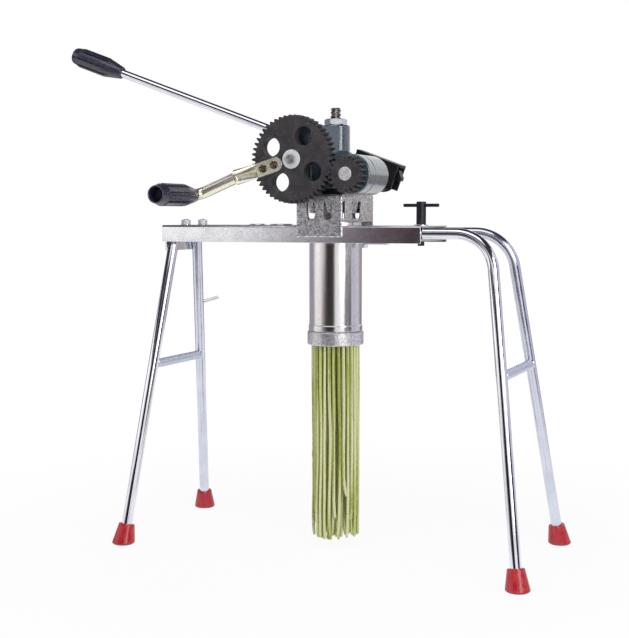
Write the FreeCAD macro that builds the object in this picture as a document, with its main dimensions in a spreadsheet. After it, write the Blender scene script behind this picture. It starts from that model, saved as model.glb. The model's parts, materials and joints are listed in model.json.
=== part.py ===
import FreeCAD, Part
import math
import os
import re
import Sketcher
from fcgear import fcgear, involute

# Hand-cranked noodle press on a legged bench.
# Frame: millimetres, +Z up, +X along the bench, +Y to the back. The origin is the
# floor point under the barrel's axis. At rest the piston is at the bottom of its
# stroke, the crank dips to the left and the ratchet lever rises to the left.

# ---------------------------------------------------------------- driving sizes
BENCH_SIZES = [
    ("bench_length", 425.0, "bench channel, end to end"),
    ("bench_width", 127.0, "bench channel, front to back"),
    ("bench_depth", 25.6, "bench channel, top face to flange edge"),
    ("bench_top", 494.2, "height of the bench's top face"),
    ("bench_left_reach", 268.0, "barrel axis to the bench's left end"),
    ("bench_wall", 2.5, "bench sheet thickness"),
    ("bench_corner", 3.0, "outer radius of the bench's folded edges"),
    ("sheet_hole_near", 101.0, "barrel axis to the larger stamped hole"),
    ("sheet_hole_far", 143.0, "barrel axis to the smaller stamped hole"),
    ("sheet_hole_back", 24.0, "stamped holes, distance behind the centre line"),
    ("sheet_hole_large", 34.0, "diameter of the larger stamped hole"),
    ("sheet_hole_small", 24.0, "diameter of the smaller stamped hole"),
    ("sheet_rim_wall", 2.0, "stamped holes, thickness of their raised rims"),
    ("sheet_rim_rise", 1.8, "stamped holes, rims above the bench"),
    ("running_gap", 0.3, "air between curved faces of pieces that move past each other"),
    ("pin_gap", 0.06, "radial clearance of a shaft in its bearing"),
    ("small_edge", 1.0, "chamfer on turned pieces"),
    ("overshoot", 1.0, "how far a cutting tool passes a face"),
]
LEG_SIZES = [
    ("leg_dia", 16.0, "leg tube, outside"),
    ("leg_wall", 1.2, "leg tube, wall"),
    ("left_top_inset", 8.0, "bench's left end to the left legs' upper ends"),
    ("left_top_half", 34.4, "half the spread of the left legs at their upper ends"),
    ("left_top_gap", 5.7, "left legs' upper ends below the bench sheet"),
    ("left_splay", 42.0, "left feet beyond the left legs' upper ends"),
    ("left_foot_half", 133.0, "half the spread of the left feet"),
    ("right_overlap", 95.0, "length of the right legs inside the bench"),
    ("right_overhang", 100.5, "bench's right end to the corner of the right legs"),
    ("right_splay", 65.1, "right feet beyond the corner of the right legs"),
    ("right_foot_half", 134.0, "half the spread of the right feet"),
    ("right_bend", 58.0, "bend radius of the right legs at the tube's axis"),
    ("left_brace_height", 276.0, "height of the left brace"),
    ("right_brace_height", 285.0, "height of the right brace"),
    ("brace_dia", 14.0, "brace tube, outside"),
    ("foot_floor_dia", 36.0, "rubber foot at the floor"),
    ("foot_top_dia", 24.5, "rubber foot at its mouth"),
    ("foot_height", 31.0, "rubber foot, floor to mouth"),
    ("foot_sole", 6.0, "rubber under the tube"),
    ("foot_lip", 2.5, "height of the foot's rounded lower edge"),
    ("peg_height", 364.0, "height of the hanging peg"),
    ("peg_length", 58.0, "hanging peg, length"),
    ("peg_dia", 6.0, "hanging peg, diameter"),
    ("peg_rise", 5.0, "hanging peg, rise of its tip"),
    ("cross_wall", 3.0, "left cross plate, thickness"),
    ("cross_drop", 38.0, "left cross plate, depth of its upright leaf"),
    ("cross_leaf", 37.0, "left cross plate, width of its level leaf"),
    ("cross_half", 47.5, "left cross plate, half its length"),
    ("cross_past_legs", 12.2, "cross plate's outer face beyond the legs' upper ends"),
    ("frame_bolt_half", 27.8, "left frame bolts, half their spacing"),
    ("frame_bolt_inset", 15.0, "left legs' upper ends to the frame bolts"),
    ("frame_washer_dia", 16.0, "washer of a left frame bolt"),
    ("frame_washer_wall", 1.6, "washer of a left frame bolt, thickness"),
    ("frame_bolt_tail", 1.4, "left frame bolts beyond their nuts"),
]
FASTENER_SIZES = [
    ("bolt_dia", 8.0, "M8 bolt, shank"),
    ("bolt_flats", 13.0, "M8 bolt and nut, across flats"),
    ("bolt_head", 5.3, "M8 bolt, head height"),
    ("nut_height", 6.5, "M8 nut, height"),
    ("bolt_play", 0.2, "radial play of a bolt in its hole"),
    ("clamp_inset", 20.0, "bench's right end to the leg clamp screw"),
    ("clamp_screw_dia", 10.0, "leg clamp screw, thread"),
    ("clamp_head_dia", 14.4, "leg clamp screw, head"),
    ("clamp_head_height", 34.0, "leg clamp screw, head height"),
    ("clamp_tail", 4.5, "leg clamp screw, length below the bench"),
    ("clamp_washer_dia", 22.0, "washer under the clamp head"),
    ("clamp_washer_wall", 1.5, "washer under the clamp head, thickness"),
    ("tommy_dia", 5.0, "cross bar, diameter"),
    ("tommy_length", 55.0, "cross bar, length"),
    ("tommy_drop", 5.5, "cross bar below the top of the clamp head"),
    ("strap_wall", 3.0, "strap under the right legs, thickness"),
    ("strap_half", 12.0, "strap, half its width along the bench"),
    ("strap_offset", 8.0, "clamp screw to the middle of the strap"),
    ("catch_reach", 51.0, "barrel axis to the catch pivot, along the bench"),
    ("catch_front", 12.0, "catch pivot, distance in front of the centre line"),
    ("catch_length", 38.0, "barrel catch, pivot to tip"),
    ("catch_width", 11.0, "barrel catch, width"),
    ("catch_wall", 2.5, "barrel catch, thickness"),
    ("catch_play", 0.1, "play of the catch on its post"),
    ("catch_drop", 0.2, "air between the bench's lower edge and the catch"),
    ("post_dia", 12.0, "catch post, diameter above the catch"),
]
BARREL_SIZES = [
    ("barrel_dia", 80.5, "barrel, outside"),
    ("barrel_wall", 2.0, "barrel, wall"),
    ("barrel_proud", 5.0, "barrel above the bench's top face"),
    ("lug_reach", 44.8, "barrel axis to the end of a hanging lug"),
    ("lug_width", 34.0, "hanging lug, width"),
    ("lug_height", 5.0, "hanging lug, thickness"),
    ("lug_play", 0.8, "play of a lug in its notch, each side"),
    ("barrel_hole_gap", 0.6, "barrel to the edge of its hole in the bench"),
    ("bead_low", 13.0, "barrel's lower end to the foot of its bead"),
    ("bead_high", 23.0, "barrel's lower end to the top of its bead"),
    ("bead_rise", 1.0, "how far the bead stands out"),
    ("cap_drop", 182.2, "bench's top face to the die cap's lower face"),
    ("cap_height", 20.6, "die cap, height"),
    ("cap_wall", 2.6, "die cap, wall"),
    ("cap_lip", 3.0, "die cap, thickness of its lip"),
    ("cap_mouth", 75.0, "die cap, opening"),
    ("cap_edge", 1.2, "die cap, chamfer"),
    ("die_dia", 80.0, "die, outside"),
    ("die_wall", 5.0, "die, thickness"),
    ("die_hole", 4.4, "die, hole diameter"),
    ("die_pitch", 6.95, "die, distance between rings of holes"),
    ("die_rings", 5.0, "die, rings of holes round the central one"),
    ("strand_floor", 12.0, "height of the lowest noodle ends"),
    ("strand_neck", 72.0, "noodle bundle, width under the die"),
    ("strand_waist", 76.0, "noodle bundle, width below the middle"),
    ("strand_swell", 130.0, "length over which the bundle widens"),
    ("strand_cuff", 12.0, "length of the bundle's straight neck"),
    ("strand_ends", 30.0, "length over which the strands end"),
    ("strand_narrowing", 6.0, "how far the bundle narrows at its lower end"),
    ("piston_wall", 16.0, "piston, thickness"),
    ("piston_rise", 2.0, "piston above the die at rest"),
    ("piston_hub", 34.0, "piston hub, diameter"),
    ("piston_hub_rise", 14.0, "piston hub above the piston"),
    ("piston_socket", 22.0, "depth of the screw in the piston"),
    ("seal_height", 6.0, "piston seal, height"),
    ("seal_depth", 3.2, "piston seal, radial depth"),
    ("seal_low", 5.0, "piston face to the seal"),
]
HEAD_SIZES = [
    ("bracket_length", 73.2, "head bracket, along the bench"),
    ("bracket_wall", 2.5, "head bracket, sheet thickness"),
    ("bracket_apron", 17.2, "bracket aprons below the bench's top face"),
    ("bracket_rise", 46.8, "bracket above the bench's top face"),
    ("bracket_bend", 5.0, "bracket, outer bend radius"),
    ("bracket_ledge", 9.0, "bracket side walls' inward ledge"),
    ("bracket_lift", 5.6, "ledge above the bench's top face"),
    ("bracket_bore", 36.0, "opening in the bracket's top"),
    ("slot_width", 13.5, "apron slot, width"),
    ("slot_length", 29.5, "apron slot, length"),
    ("slot_centre", 23.0, "apron slots' centre above the bench's top face"),
    ("slot_spread", 13.6, "bracket centre to an apron slot"),
    ("window_width", 37.0, "side window, width"),
    ("window_height", 26.0, "side window, height"),
    ("window_shift", 6.5, "side window, its middle in front of the barrel axis"),
    ("window_corner", 8.0, "side window, radius of its lower corners"),
    ("window_slit", 11.0, "narrow side window by the front apron, width"),
    ("window_slit_shift", 56.5, "narrow side window, its middle in front of the barrel axis"),
    ("window_tongue", 21.0, "side window's tongue, width"),
    ("tongue_width", 7.5, "pressed tongue, width"),
    ("tongue_length", 19.0, "pressed tongue, length"),
    ("tongue_wall", 2.0, "pressed tongue, thickness"),
    ("tongue_bite", 0.4, "tongue's hinge below the end of its slot"),
    ("tongue_root", 1.0, "hinge of a side window's tongue inside the wall"),
    ("tongue_lean_turn", 14.0, "pressed tongue, lean in degrees"),
    ("base_half_length", 30.5, "base plate, half its length along the bench"),
    ("base_half_width", 60.0, "base plate, half its width"),
    ("base_wall", 8.0, "base plate, thickness"),
    ("base_bore", 18.0, "hole for the lead screw in the base plate"),
    ("base_bolt_x", 20.0, "housing bolts, half their spacing along the bench"),
    ("base_bolt_y", 51.0, "housing bolts, half their spacing across"),
    ("base_bolt_grip", 9.0, "length of a housing bolt in the casting"),
    ("casting_foot", 10.0, "casting's foot, thickness"),
    ("chamber_dia", 92.0, "worm wheel chamber, outside"),
    ("chamber_wall", 5.0, "worm wheel chamber, wall"),
    ("chamber_top", 39.0, "chamber's shoulder above the base plate"),
    ("chamber_ceiling", 36.0, "inside height of the chamber"),
    ("shoulder_rise", 18.0, "height of the casting's shoulder"),
    ("tower_dia", 44.0, "tower, outside"),
    ("tower_rise", 96.5, "tower's top face above the base plate"),
    ("tower_edge", 2.0, "tower, rounding of its top edge"),
    ("arm_left", 46.0, "barrel axis to the left side of the gear arm"),
    ("arm_front", 68.0, "barrel axis to the front face of the gear arm"),
    ("arm_height", 93.0, "gear arm, up from the base plate"),
    ("boss_dia", 59.0, "worm boss, outside"),
    ("boss_back", 9.0, "worm boss, behind the barrel axis"),
    ("boss_joint", 46.5, "joint of boss and bearing cap, before the barrel axis"),
    ("boss_front", 72.0, "front face of the bearing cap, before the barrel axis"),
    ("joint_groove", 1.6, "groove at the joint of boss and cap"),
    ("neck_dia", 38.0, "rear neck of the worm boss, outside"),
    ("neck_back", 38.0, "rear neck, behind the barrel axis"),
    ("worm_bore", 42.0, "bore for the worm"),
    ("worm_bore_back", 6.2, "end of the worm's bore, behind the barrel axis"),
    ("spigot_length", 15.5, "bearing cap's spigot in the boss"),
    ("bush_dia", 26.0, "bushes, outside"),
    ("thrust_wall", 2.7, "worm thrust washers, thickness"),
    ("bearing_dia", 48.0, "wheel thrust rings, outside"),
    ("bearing_wall", 5.5, "wheel thrust rings, thickness"),
]
DRIVE_SIZES = [
    ("gear_module", 2.5, "crank gear and pinion, module"),
    ("gear_teeth", 50.0, "crank gear, teeth"),
    ("pinion_teeth", 20.0, "pinion, teeth"),
    ("gear_shift", -0.06, "profile shift that gives the pair its backlash"),
    ("gear_wall", 17.5, "crank gear, thickness"),
    ("gear_front", 93.5, "front face of the crank gear, before the barrel axis"),
    ("pinion_wall", 20.0, "pinion, thickness"),
    ("pinion_front", 95.5, "front face of the pinion, before the barrel axis"),
    ("gear_line", 14.7, "rise of the line from pinion to gear, in degrees"),
    ("gear_hole_dia", 28.0, "lightening holes, diameter"),
    ("gear_hole_reach", 38.0, "gear centre to a lightening hole"),
    ("gear_hole_turn", 61.0, "first lightening hole, in degrees from +X"),
    ("shaft_dia", 20.0, "worm shaft"),
    ("shaft_proud", 1.0, "worm shaft before the pinion"),
    ("worm_module", 3.0, "worm and worm wheel, module"),
    ("worm_pitch_dia", 34.0, "worm, pitch diameter"),
    ("worm_front", 28.0, "front end of the worm, before the barrel axis"),
    ("worm_length", 31.2, "worm, length"),
    ("worm_tooth", 3.6, "worm thread, thickness at the pitch line"),
    ("worm_turns", 2.5, "worm thread, turns round its core"),
    ("thread_bite", 0.5, "how far the worm thread starts inside the core"),
    ("wheel_teeth", 24.0, "worm wheel, teeth"),
    ("wheel_face", 14.0, "worm wheel, face width"),
    ("wheel_hub", 40.0, "worm wheel hub, diameter"),
    ("worm_rise", 28.0, "worm axis above the bracket"),
    ("nut_dia", 26.0, "lead nut, outside"),
    ("nut_length", 45.0, "lead nut, length"),
    ("nut_lift", 3.0, "lead nut's lower end above the base plate"),
    ("screw_dia", 16.0, "lead screw, major diameter"),
    ("screw_proud", 26.0, "lead screw above the tower at rest"),
    ("keyway_width", 3.3, "keyway of the lead screw, width"),
    ("keyway_depth", 3.0, "keyway of the lead screw, depth"),
    ("keyway_turn", 29.0, "keyway, in degrees from the front towards +X"),
    ("key_width", 3.0, "guide key, width"),
    ("key_length", 10.0, "guide key, length"),
    ("key_gap", 0.4, "air between the guide key and the keyway's floor"),
    ("key_cover", 1.0, "tower nut's wall outside the guide key"),
    ("tower_nut_flats", 30.0, "tower nut, across flats"),
    ("tower_nut_height", 9.4, "tower nut, height"),
    ("tower_nut_turn", -7.0, "tower nut, turn of its corners in degrees"),
    ("tower_nut_spigot", 12.0, "tower nut, length in the tower"),
    ("tower_nut_thread", 24.0, "tower nut, thread diameter"),
    ("stud_dia", 20.0, "gear stud"),
    ("gear_bush_wall", 3.0, "bush between stud and crank gear, wall"),
    ("stud_root", 16.0, "gear stud, in the gear arm"),
    ("stud_root_length", 22.0, "gear stud, length in the gear arm"),
    ("stud_washer_dia", 28.0, "washer before the crank gear"),
    ("stud_washer_wall", 2.0, "washer before the crank gear, thickness"),
    ("stud_bolt_length", 20.0, "gear stud bolt, length in the stud"),
]
CRANK_SIZES = [
    ("crank_dip_turn", 16.6, "crank plate below -X, in degrees"),
    ("crank_elbow_turn", 5.5, "further dip of the crank tube, in degrees"),
    ("crank_plate_start", 15.3, "gear centre to the rounded end of the crank plate"),
    ("crank_plate_end", 57.0, "gear centre to the end of the crank plate"),
    ("crank_plate_width", 21.0, "crank plate, width"),
    ("crank_plate_wall", 4.0, "crank plate, thickness"),
    ("crank_screw_near", 28.0, "gear centre to the nearer crank screw"),
    ("crank_screw_far", 46.5, "gear centre to the farther crank screw"),
    ("crank_screw_dia", 5.0, "crank screws, thread"),
    ("crank_screw_head", 12.4, "crank screws, head diameter"),
    ("crank_screw_rise", 2.8, "crank screws, head height"),
    ("crank_screw_length", 12.0, "crank screws, length in the gear"),
    ("crank_tube_dia", 17.5, "crank tube, outside"),
    ("crank_neck_end", 90.5, "gear centre to the end of the flattened sleeve"),
    ("crank_sleeve_width", 23.0, "flattened sleeve, width at its end"),
    ("crank_reach", 160.5, "gear centre to the crank grip's axis"),
    ("crank_bend", 17.0, "crank tube, bend radius towards the grip"),
    ("crank_tube_front", 126.0, "end of the crank tube, before the barrel axis"),
    ("spindle_dia", 9.0, "crank grip's spindle"),
    ("spindle_tail", 1.5, "spindle beyond its nut"),
    ("crank_grip_back", 116.0, "rear end of the crank grip, before the barrel axis"),
    ("crank_grip_front", 226.0, "front end of the crank grip, before the barrel axis"),
    ("crank_grip_mouth", 0.9, "air between the crank tube and the grip's mouth"),
    ("crank_grip_dia", 33.0, "crank grip, over the ribs"),
    ("crank_grip_wall", 2.0, "crank grip's neck over the tube's radius"),
    ("crank_grip_recess", 22.0, "recess in the crank grip's end"),
    ("crank_recess_depth", 18.0, "depth of that recess"),
    ("grip_flutes", 8.0, "flutes round a grip"),
    ("flute_radius", 5.0, "radius of a flute"),
    ("flute_depth", 1.8, "depth of a flute"),
    ("grip_collar", 16.0, "plain collar at a grip's end"),
    ("grip_edge", 1.0, "step from a grip's collar to its ribs"),
    ("grip_face_step", 3.5, "a grip's end face inside the radius of its ribs"),
]
LEVER_SIZES = [
    ("lever_rise_turn", 20.2, "lever above -X, in degrees"),
    ("lever_offset", 7.7, "lever axis above the worm shaft's axis"),
    ("lever_rod_dia", 13.0, "lever rod"),
    ("lever_rod_start", 33.0, "shaft axis to the rod's inner end"),
    ("lever_rod_seat", 6.0, "plastic beyond the rod's outer end"),
    ("lever_tip", 596.0, "shaft axis to the lever's tip"),
    ("lever_grip_length", 99.0, "lever grip, length"),
    ("lever_grip_dia", 33.0, "lever grip, over the ribs"),
    ("lever_grip_neck", 20.0, "lever grip, diameter of its neck"),
    ("head_back", 40.0, "front face of the ratchet head, behind the barrel axis"),
    ("head_depth", 28.0, "ratchet head, front to back"),
    ("head_plate", 4.0, "ratchet head, plate thickness"),
    ("head_left", 49.0, "shaft axis to the head's left end"),
    ("head_front_left", 27.0, "shaft axis to the front plate's left end"),
    ("block_start", 30.0, "shaft axis to the inner end of the rod's socket"),
    ("lever_rod_back", 55.0, "lever rod, behind the barrel axis"),
    ("head_toe", 13.0, "shaft axis to the lower face of the head's right part"),
    ("cover_screw_near", 32.0, "shaft axis to the nearer cover screws"),
    ("cover_screw_far", 43.0, "shaft axis to the farther cover screws"),
    ("cover_screw_inset", 5.5, "cover screws to the edge of the cover"),
    ("cover_screw_head", 8.0, "cover screws, head diameter"),
    ("cover_screw_rise", 2.4, "cover screws, head height"),
    ("head_right", 26.5, "shaft axis to the head's right end"),
    ("head_top", 27.5, "shaft axis to the head's upper face"),
    ("head_bottom", 8.0, "shaft axis to the lower face of the head's left part"),
    ("head_round", 23.5, "radius of the head round the shaft"),
    ("cover_right", 29.0, "shaft axis to the cover plate's right end"),
    ("ratchet_dia", 42.0, "ratchet wheel, over the teeth"),
    ("ratchet_root", 33.0, "ratchet wheel, under the teeth"),
    ("ratchet_teeth", 12.0, "ratchet wheel, teeth"),
    ("ratchet_wall", 16.0, "ratchet wheel, thickness"),
    ("ratchet_square", 14.0, "square on the shaft"),
    ("journal_dia", 14.0, "shaft in the cover plate"),
    ("tail_dia", 10.0, "shaft's threaded tail"),
    ("tail_length", 11.0, "shaft's threaded tail, length"),
    ("shaft_nut_flats", 17.0, "nut on the shaft's tail, across flats"),
    ("shaft_nut_height", 8.0, "nut on the shaft's tail, height"),
    ("head_play", 0.5, "axial play of the shaft's steps in the ratchet head"),
    ("pawl_pin_dia", 6.0, "pawl pin"),
    ("pawl_pin_right", 16.5, "pawl pin, to the right of the shaft along the head"),
    ("pawl_pin_up", 20.5, "pawl pin, above the shaft across the head"),
    ("pawl_wall", 14.0, "pawl, thickness"),
    ("pawl_shoulder", 27.0, "shaft axis to the pawl's shoulder"),
    ("pawl_tip", 34.5, "shaft axis to the pawl's thumb tip"),
    ("pawl_tip_high", 10.0, "shaft axis up to the corner of the thumb tip"),
    ("pawl_tip_low", 4.5, "shaft axis up to the lower corner of the thumb tip"),
    ("pawl_tip_edge", 3.0, "chamfers of the thumb tip"),
    ("pawl_heel", 5.5, "pawl pin to the pawl's heel and belly"),
    ("pawl_crown", 2.4, "pawl above its pin"),
    ("pawl_slope", 3.2, "fall of the pawl's back from its pin to its shoulder"),
]
SECTIONS = [
    BENCH_SIZES, LEG_SIZES, FASTENER_SIZES, BARREL_SIZES,
    HEAD_SIZES, DRIVE_SIZES, CRANK_SIZES, LEVER_SIZES,
]

# Places and sizes that follow from the driving ones.
LAYOUT = [
    ("bench_half", "bench_width / 2"),
    ("bench_left", "-bench_left_reach"),
    ("bench_right", "bench_length - bench_left_reach"),
    ("bench_under", "bench_top - bench_wall"),
    ("bench_bottom", "bench_top - bench_depth"),
    ("bench_inner_half", "bench_half - bench_wall"),
    ("leg_radius", "leg_dia / 2"),
    ("left_leg_top", "bench_under - left_top_gap"),
    ("left_top_x", "left_top_inset - bench_left_reach"),
    ("left_foot_x", "left_top_x - left_splay"),
    ("cross_face", "left_top_x - cross_past_legs"),
    ("frame_bolt_x", "left_top_x + frame_bolt_inset"),
    ("right_end_x", "bench_right - right_overlap"),
    ("right_corner_x", "bench_right + right_overhang"),
    ("right_foot_x", "right_corner_x + right_splay"),
    ("clamp_x", "bench_right - clamp_inset"),
    ("right_half", "bench_inner_half - leg_radius - running_gap"),
    ("right_leg_top", "bench_under - leg_radius - running_gap"),
    ("strap_top", "right_leg_top - leg_radius - running_gap"),
    ("strap_bottom", "strap_top - strap_wall"),
    ("strap_centre", "clamp_x + strap_offset"),
    ("bolt_hole", "bolt_dia / 2 + bolt_play"),
    ("catch_top", "bench_bottom - catch_drop"),
    ("catch_floor", "catch_top - catch_wall"),
    ("ledge_floor", "bench_top + bracket_lift"),
    ("barrel_radius", "barrel_dia / 2"),
    ("barrel_bore", "barrel_radius - barrel_wall"),
    ("barrel_hole", "barrel_radius + barrel_hole_gap"),
    ("cap_floor", "bench_top - cap_drop"),
    ("die_floor", "cap_floor + cap_lip"),
    ("die_top", "die_floor + die_wall"),
    ("barrel_top", "bench_top + barrel_proud"),
    ("cap_bore", "barrel_radius + running_gap"),
    ("piston_floor", "die_top + piston_rise"),
    ("piston_top", "piston_floor + piston_wall"),
    ("piston_radius", "barrel_bore - running_gap"),
    ("seal_radius", "barrel_bore - pin_gap"),
    ("screw_floor", "piston_top + piston_hub_rise - piston_socket"),
    ("bracket_half", "bracket_length / 2"),
    ("bracket_half_width", "bench_half + bracket_wall"),
    ("bracket_top", "bench_top + bracket_rise"),
    ("bracket_ceiling", "bracket_top - bracket_wall"),
    ("base_top", "bracket_top + base_wall"),
    ("tower_top", "base_top + tower_rise"),
    ("nut_floor", "base_top + nut_lift"),
    ("nut_top", "nut_floor + nut_length"),
    ("screw_top", "tower_top + screw_proud"),
    ("shoulder_floor", "base_top + chamber_top"),
    ("shoulder_top", "shoulder_floor + shoulder_rise"),
    ("ceiling", "base_top + chamber_ceiling"),
    ("chamber_bore", "chamber_dia / 2 - chamber_wall"),
    ("wheel_pitch", "worm_module * wheel_teeth / 2"),
    ("worm_x", "wheel_pitch + worm_pitch_dia / 2"),
    ("worm_z", "bracket_top + worm_rise"),
    ("boss_radius", "boss_dia / 2"),
    ("bush_radius", "bush_dia / 2"),
    ("gear_span", "gear_module * (gear_teeth + pinion_teeth) / 2"),
    ("gear_x", "worm_x - gear_span * cos(gear_line)"),
    ("gear_z", "worm_z + gear_span * sin(gear_line)"),
    ("gear_back", "gear_front - gear_wall"),
    ("pinion_back", "pinion_front - pinion_wall"),
    ("washer_back", "gear_front + running_gap"),
    ("crank_tube_y", "gear_front + crank_tube_dia / 2 + running_gap"),
    ("head_front_inner", "head_back + head_plate"),
    ("head_rear_inner", "head_back + head_depth - head_plate"),
    ("head_rear", "head_back + head_depth"),
    ("ratchet_front", "(head_front_inner + head_rear_inner - ratchet_wall) / 2"),
    ("block_front", "chamber_dia / 2 + running_gap"),
    ("crank_along", "crank_neck_end * cos(crank_elbow_turn)"),
    ("crank_run", "sqrt(crank_along^2 - crank_neck_end^2 + crank_reach^2) - crank_along"),
    ("crank_corner_x", "-crank_neck_end - crank_run * cos(crank_elbow_turn)"),
    ("crank_corner_z", "-crank_run * sin(crank_elbow_turn)"),
    ("socket_depth", "crank_tube_front - crank_tube_y - crank_bend"),
    ("grip_floor", "crank_grip_front - crank_recess_depth"),
]

doc = FreeCAD.newDocument("noodle_press")
dims = doc.addObject("Spreadsheet::Sheet", "dims")
layout = doc.addObject("Spreadsheet::Sheet", "layout")
SHEET_OF = {}
WORD = re.compile(r"[A-Za-z_][A-Za-z_0-9]*")


def formula(text):
    """Name the sheet before each of its words in an expression."""
    return WORD.sub(lambda found: SHEET_OF.get(found.group(), "") + found.group(), text)


def fill_sheets():
    """Write the driving sizes and the formulas that follow from them."""
    row = 1
    for section in SECTIONS:
        for alias, number, meaning in section:
            dims.set(f"A{row}", meaning)
            dims.set(f"B{row}", str(number))
            dims.setAlias(f"B{row}", alias)
            SHEET_OF[alias] = "dims."
            row += 1
    for number, (alias, text) in enumerate(LAYOUT, 1):
        layout.set(f"B{number}", "=" + formula(text))
        layout.setAlias(f"B{number}", alias)
        SHEET_OF[alias] = "layout."
    doc.recompute()


fill_sheets()

ORIGIN = FreeCAD.Vector(0, 0, 0)
X_AXIS = FreeCAD.Vector(1, 0, 0)
Y_AXIS = FreeCAD.Vector(0, 1, 0)
Z_AXIS = FreeCAD.Vector(0, 0, 1)
ALONG_X = FreeCAD.Rotation(Y_AXIS, 90)
ALONG_Y = FreeCAD.Rotation(X_AXIS, -90)
SUB_PARTS = []

PRESSURE_ANGLE = 20.0  # degrees, gears and worm
DEDENDUM = 1.25        # depth of a tooth below its pitch line, in modules
ROOT_FILLET = 0.38     # fillet at a tooth's root, in modules
HALF_TURN = 180.0
FULL_TURN = 360.0
CLOSE = 0.01           # tolerance when an edge is picked by its place


# --------------------------------------------------------------------- helpers
def size(text):
    """The number that an expression gives now."""
    return float(dims.evalExpression(formula(text)))


def vector(x, y, z):
    return FreeCAD.Vector(size(x), size(y), size(z))


def bind(item, **texts):
    for name, text in texts.items():
        item.setExpression(name, formula(text))
    return item


def put(item, x="0", y="0", z="0", turn=None):
    """Turn an object, then tie its place to the sheets."""
    item.Placement = FreeCAD.Placement(vector(x, y, z), turn or FreeCAD.Rotation())
    for axis, text in zip("xyz", (x, y, z)):
        item.setExpression("Placement.Base." + axis, formula(text))
    return item


def add(kind, name):
    return doc.addObject(kind, name)


def box(name, length, width, height, x="0", y="0", z="0", turn=None):
    item = bind(add("Part::Box", name), Length=length, Width=width, Height=height)
    return put(item, x, y, z, turn)


def cylinder(name, radius, height, x="0", y="0", z="0", turn=None):
    item = bind(add("Part::Cylinder", name), Radius=radius, Height=height)
    return put(item, x, y, z, turn)


def hexagon(name, flats, height, x="0", y="0", z="0", turn=None):
    item = bind(add("Part::Prism", name), Circumradius=f"({flats}) / sqrt(3)", Height=height)
    item.Polygon = 6
    return put(item, x, y, z, turn)


def fuse(name, *pieces):
    item = add("Part::MultiFuse", name)
    item.Shapes = list(pieces)
    return item


def cut(name, base, *tools):
    item = add("Part::Cut", name)
    item.Base = base
    item.Tool = tools[0] if len(tools) == 1 else fuse(name + "_tools", *tools)
    return item


def group(name, *pieces):
    item = add("Part::Compound", name)
    item.Links = list(pieces)
    return item


def sub_part(node, item):
    """Register an object as a piece that is written to a file of its own."""
    item.Label = node
    SUB_PARTS.append(item)
    return item


def plane(body, role):
    return next(item for item in body.Origin.OriginFeatures if item.Role == role)


def sketch_on(body, name, role):
    sketch = body.newObject("Sketcher::SketchObject", name)
    sketch.AttachmentSupport = [(plane(body, role), "")]
    sketch.MapMode = "FlatFace"
    doc.recompute()
    return sketch


def pin_point(sketch, line, axis, text):
    """Tie one coordinate of a line's first point to the sheets."""
    value = size(text)
    if text == "0":
        sketch.addConstraint(Sketcher.Constraint("PointOnObject", line, 1, -2 if axis == "X" else -1))
        return
    rule = Sketcher.Constraint("Distance" + axis, -1, 1, line, 1, value)
    index = sketch.addConstraint(rule)
    sketch.setExpression(f"Constraints[{index}]", formula(text))


def draw(sketch, points):
    """A closed outline of straight lines whose corners are tied to the sheets."""
    spots = [FreeCAD.Vector(size(a), size(b), 0) for a, b in points]
    first = sketch.GeometryCount
    for number, spot in enumerate(spots):
        sketch.addGeometry(Part.LineSegment(spot, spots[(number + 1) % len(spots)]), False)
    for number in range(len(points)):
        after = first + (number + 1) % len(points)
        sketch.addConstraint(Sketcher.Constraint("Coincident", first + number, 2, after, 1))
    for number, (a, b) in enumerate(points):
        pin_point(sketch, first + number, "X", a)
        pin_point(sketch, first + number, "Y", b)
    return sketch


def turned(name, points, x="0", y="0", z="0", turn=None):
    """A body turned from an outline of (radius, height) about its own Z axis."""
    body = add("PartDesign::Body", name)
    sketch = draw(sketch_on(body, name + "_profile", "XZ_Plane"), points)
    feature = body.newObject("PartDesign::Revolution", name + "_turned")
    feature.Profile = sketch
    feature.ReferenceAxis = (sketch, ["V_Axis"])
    feature.Angle = FULL_TURN
    return put(body, x, y, z, turn)


def padded(name, role, points, length, x="0", y="0", z="0", turn=None):
    """A body padded from an outline on one of its origin planes."""
    body = add("PartDesign::Body", name)
    sketch = draw(sketch_on(body, name + "_profile", role), points)
    feature = body.newObject("PartDesign::Pad", name + "_pad")
    feature.Profile = sketch
    bind(feature, Length=length)
    feature.SideType = "One side"
    return put(body, x, y, z, turn)


def spun(name, item, count):
    """Copies of an object, evenly spaced round the Z axis."""
    array = add("Part::Feature", name)
    doc.recompute()
    copies = []
    for number in range(count):
        copy = item.Shape.copy()
        copy.rotate(ORIGIN, Z_AXIS, FULL_TURN * number / count)
        copies.append(copy)
    array.Shape = Part.makeCompound(copies)
    return array


def shaped(name, shape):
    """A piece with slanted or bent axes, made from the sheets' numbers."""
    item = add("Part::Feature", name)
    item.Shape = shape
    return item


def rod_between(start, end, radius):
    run = end - start
    return Part.makeCylinder(radius, run.Length, start, run)


def bent_path(points, radius):
    """Straight runs through points, joined by tangent arcs."""
    edges = []
    start = points[0]
    for before, corner, after in zip(points, points[1:], points[2:]):
        back = (before - corner).normalize()
        ahead = (after - corner).normalize()
        half = back.getAngle(ahead) / 2
        reach = radius / math.tan(half)
        enter = corner + back * reach
        leave = corner + ahead * reach
        middle = (back + ahead).normalize()
        top = corner + middle * (radius / math.sin(half) - radius)
        edges.append(Part.LineSegment(start, enter).toShape())
        edges.append(Part.Arc(enter, top, leave).toShape())
        start = leave
    edges.append(Part.LineSegment(start, points[-1]).toShape())
    return Part.Wire(edges)


def bent_bar(points, radius, bend):
    """A round bar along a bent path."""
    path = bent_path(points, bend)
    ring = Part.Wire(Part.makeCircle(radius, points[0], points[1] - points[0]))
    return path.makePipeShell([ring], True, False)


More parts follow.
